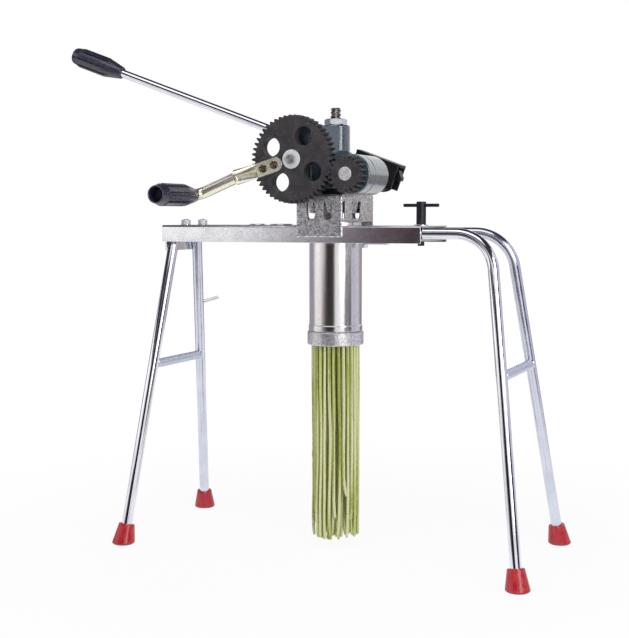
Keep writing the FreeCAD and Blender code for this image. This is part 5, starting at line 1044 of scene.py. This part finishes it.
def studio():
    """What the mirrors see, and the lamps."""
    surroundings()
    floor()
    grey = (0.045, 0.040, 0.055)
    for index, (start, end, colour) in enumerate(FRONT_LOW):
        arc_flag(f"flag_front_low_{index}", start, end, FRONT_RADIUS, 0.0, FRONT_STEP, colour)
    for index, (start, end, colour) in enumerate(FRONT_HIGH):
        arc_flag(f"flag_front_high_{index}", start, end, FRONT_RADIUS, FRONT_STEP, FRONT_TOP,
                 colour)
    arc_flag("flag_right_low", 61, 93, 1.60, 0.0, 0.45, grey)
    arc_flag("flag_right_high", 60, 93, 1.62, 0.60, 1.3, grey)
    arc_flag("strip_right", 65, 71, 1.60, 0.60, 1.2, (1.0, 1.0, 1.0), 7.0)
    arc_flag("flag_far_right", 93, 150, 1.70, 0.0, 1.6, (0.66, 0.64, 0.78))
    arc_flag("flag_warm", 146, 176, 1.68, 0.25, 0.60, (0.40, 0.36, 0.32))
    arc_flag("flag_rear", 150, 202, 1.80, 0.0, 0.47, (0.28, 0.26, 0.34))
    arc_flag("flag_rear_line", 172, 225, 1.82, 0.46, 0.56, (0.06, 0.055, 0.08))
    arc_flag("flag_left", -158, -84, 1.70, 0.0, 1.4, (0.36, 0.34, 0.40))
    card("flag_floor", [(-0.8, -1.9, 0.004), (0.7, -1.9, 0.004), (0.7, -0.66, 0.004),
                        (-0.8, -0.66, 0.004)], grey)
    card("flag_back", [(-1.6, 0.42, 2.0), (1.6, 0.42, 2.0), (1.6, 1.75, 1.6),
                       (-1.6, 1.75, 1.6)], grey)
    card("flag_top", [(-1.9, -1.9, 2.1), (1.9, -1.9, 2.1), (1.9, 0.42, 2.0),
                      (-1.9, 0.42, 2.0)], grey)
    card("flag_ceiling_edge", [(-1.9, -1.98, 1.25), (1.9, -1.98, 1.25), (1.9, -1.9, 2.1),
                               (-1.9, -1.9, 2.1)], (0.06, 0.045, 0.05))
    card("flag_lever_low", [(-1.9, -1.5, 0.006), (-0.1, -1.5, 0.006), (-0.1, -0.9, 0.006),
                            (-1.9, -0.9, 0.006)], (0.30, 0.29, 0.34))
    arc_flag("flag_tower_left", -95, -26, 1.66, 0.62, 1.1, (0.035, 0.045, 0.06))
    lamp("lamp_above", (-0.1, -0.75, 1.75), (0, 0, 0.4), (1.5, 0.9), 1.5)
    lamp("lamp_left", (-1.5, -0.85, 0.9), (0, 0, 0.4), (0.8, 1.1), 0.35)
    lamp("lamp_right", (1.45, -1.15, 0.9), (0, 0, 0.4), (0.6, 1.1), 4.3)


def camera():
    """The photo's camera, as fitted to the object's measured points."""
    data = bpy.data.cameras.new("camera")
    data.sensor_width = 36
    data.lens = 69.35
    item = bpy.data.objects.new("camera", data)
    item.location = (0.7134, -1.7432, 0.5085)
    item.rotation_euler = [math.radians(a) for a in (90 - 4.7946, 0, 23.2411)]
    bpy.context.scene.collection.objects.link(item)
    bpy.context.scene.camera = item
    bpy.context.scene.view_settings.view_transform = "Standard"


# Where the folds of the head bracket's saddle are, in millimetres.
SADDLE_HALF_LENGTH, SADDLE_HALF_WIDTH, SADDLE_FOOT = 36.6, 66.0, 477.0
# How far the edges of each node are rounded, in millimetres.
EASED = {
    "bench_channel": 0.5, "base_plate": 0.8, "gear_housing": 1.1, "front_bearing_cap": 0.7,
    "drive_gear": 0.35, "pinion": 0.3, "ratchet_head": 0.6, "ratchet_cover": 0.6,
    "ratchet_pawl": 0.5, "die_cap": 0.5, "barrel": 0.4, "clamp_strap": 0.4, "clamp_screw": 0.7,
    "clamp_bar": 0.8, "left_cross_plate": 0.5, "barrel_catch": 0.4, "crank_arm": 0.4,
    "left_feet": 0.8, "right_feet": 0.8, "left_frame_bolts": 0.45, "housing_bolts": 0.45,
    "shaft_nut": 0.5, "cover_screws": 0.3, "worm_shaft": 0.4, "clamp_washer": 0.3,
}


def outer_fold(middle, along):
    """The saddle's four upright outer edges and the lower edges of its two aprons."""
    near = 0.05
    outside = abs(abs(middle.y) - SADDLE_HALF_WIDTH) < near
    at_corner = abs(abs(middle.x) - SADDLE_HALF_LENGTH) < near
    upright = abs(along.z) > 0.9 * along.length
    return outside and (at_corner and upright or abs(middle.z - SADDLE_FOOT) < near)


noodles()
lead_screw()
tower_nut()
stud_bolt()
crank_screws()
crank_grip()
lever_grip()
welds()
eased("head_bracket", 0.45, folded=outer_fold)
for node, width in EASED.items():
    eased(node, width)
studio()
camera()

bpy.context.view_layer.update()
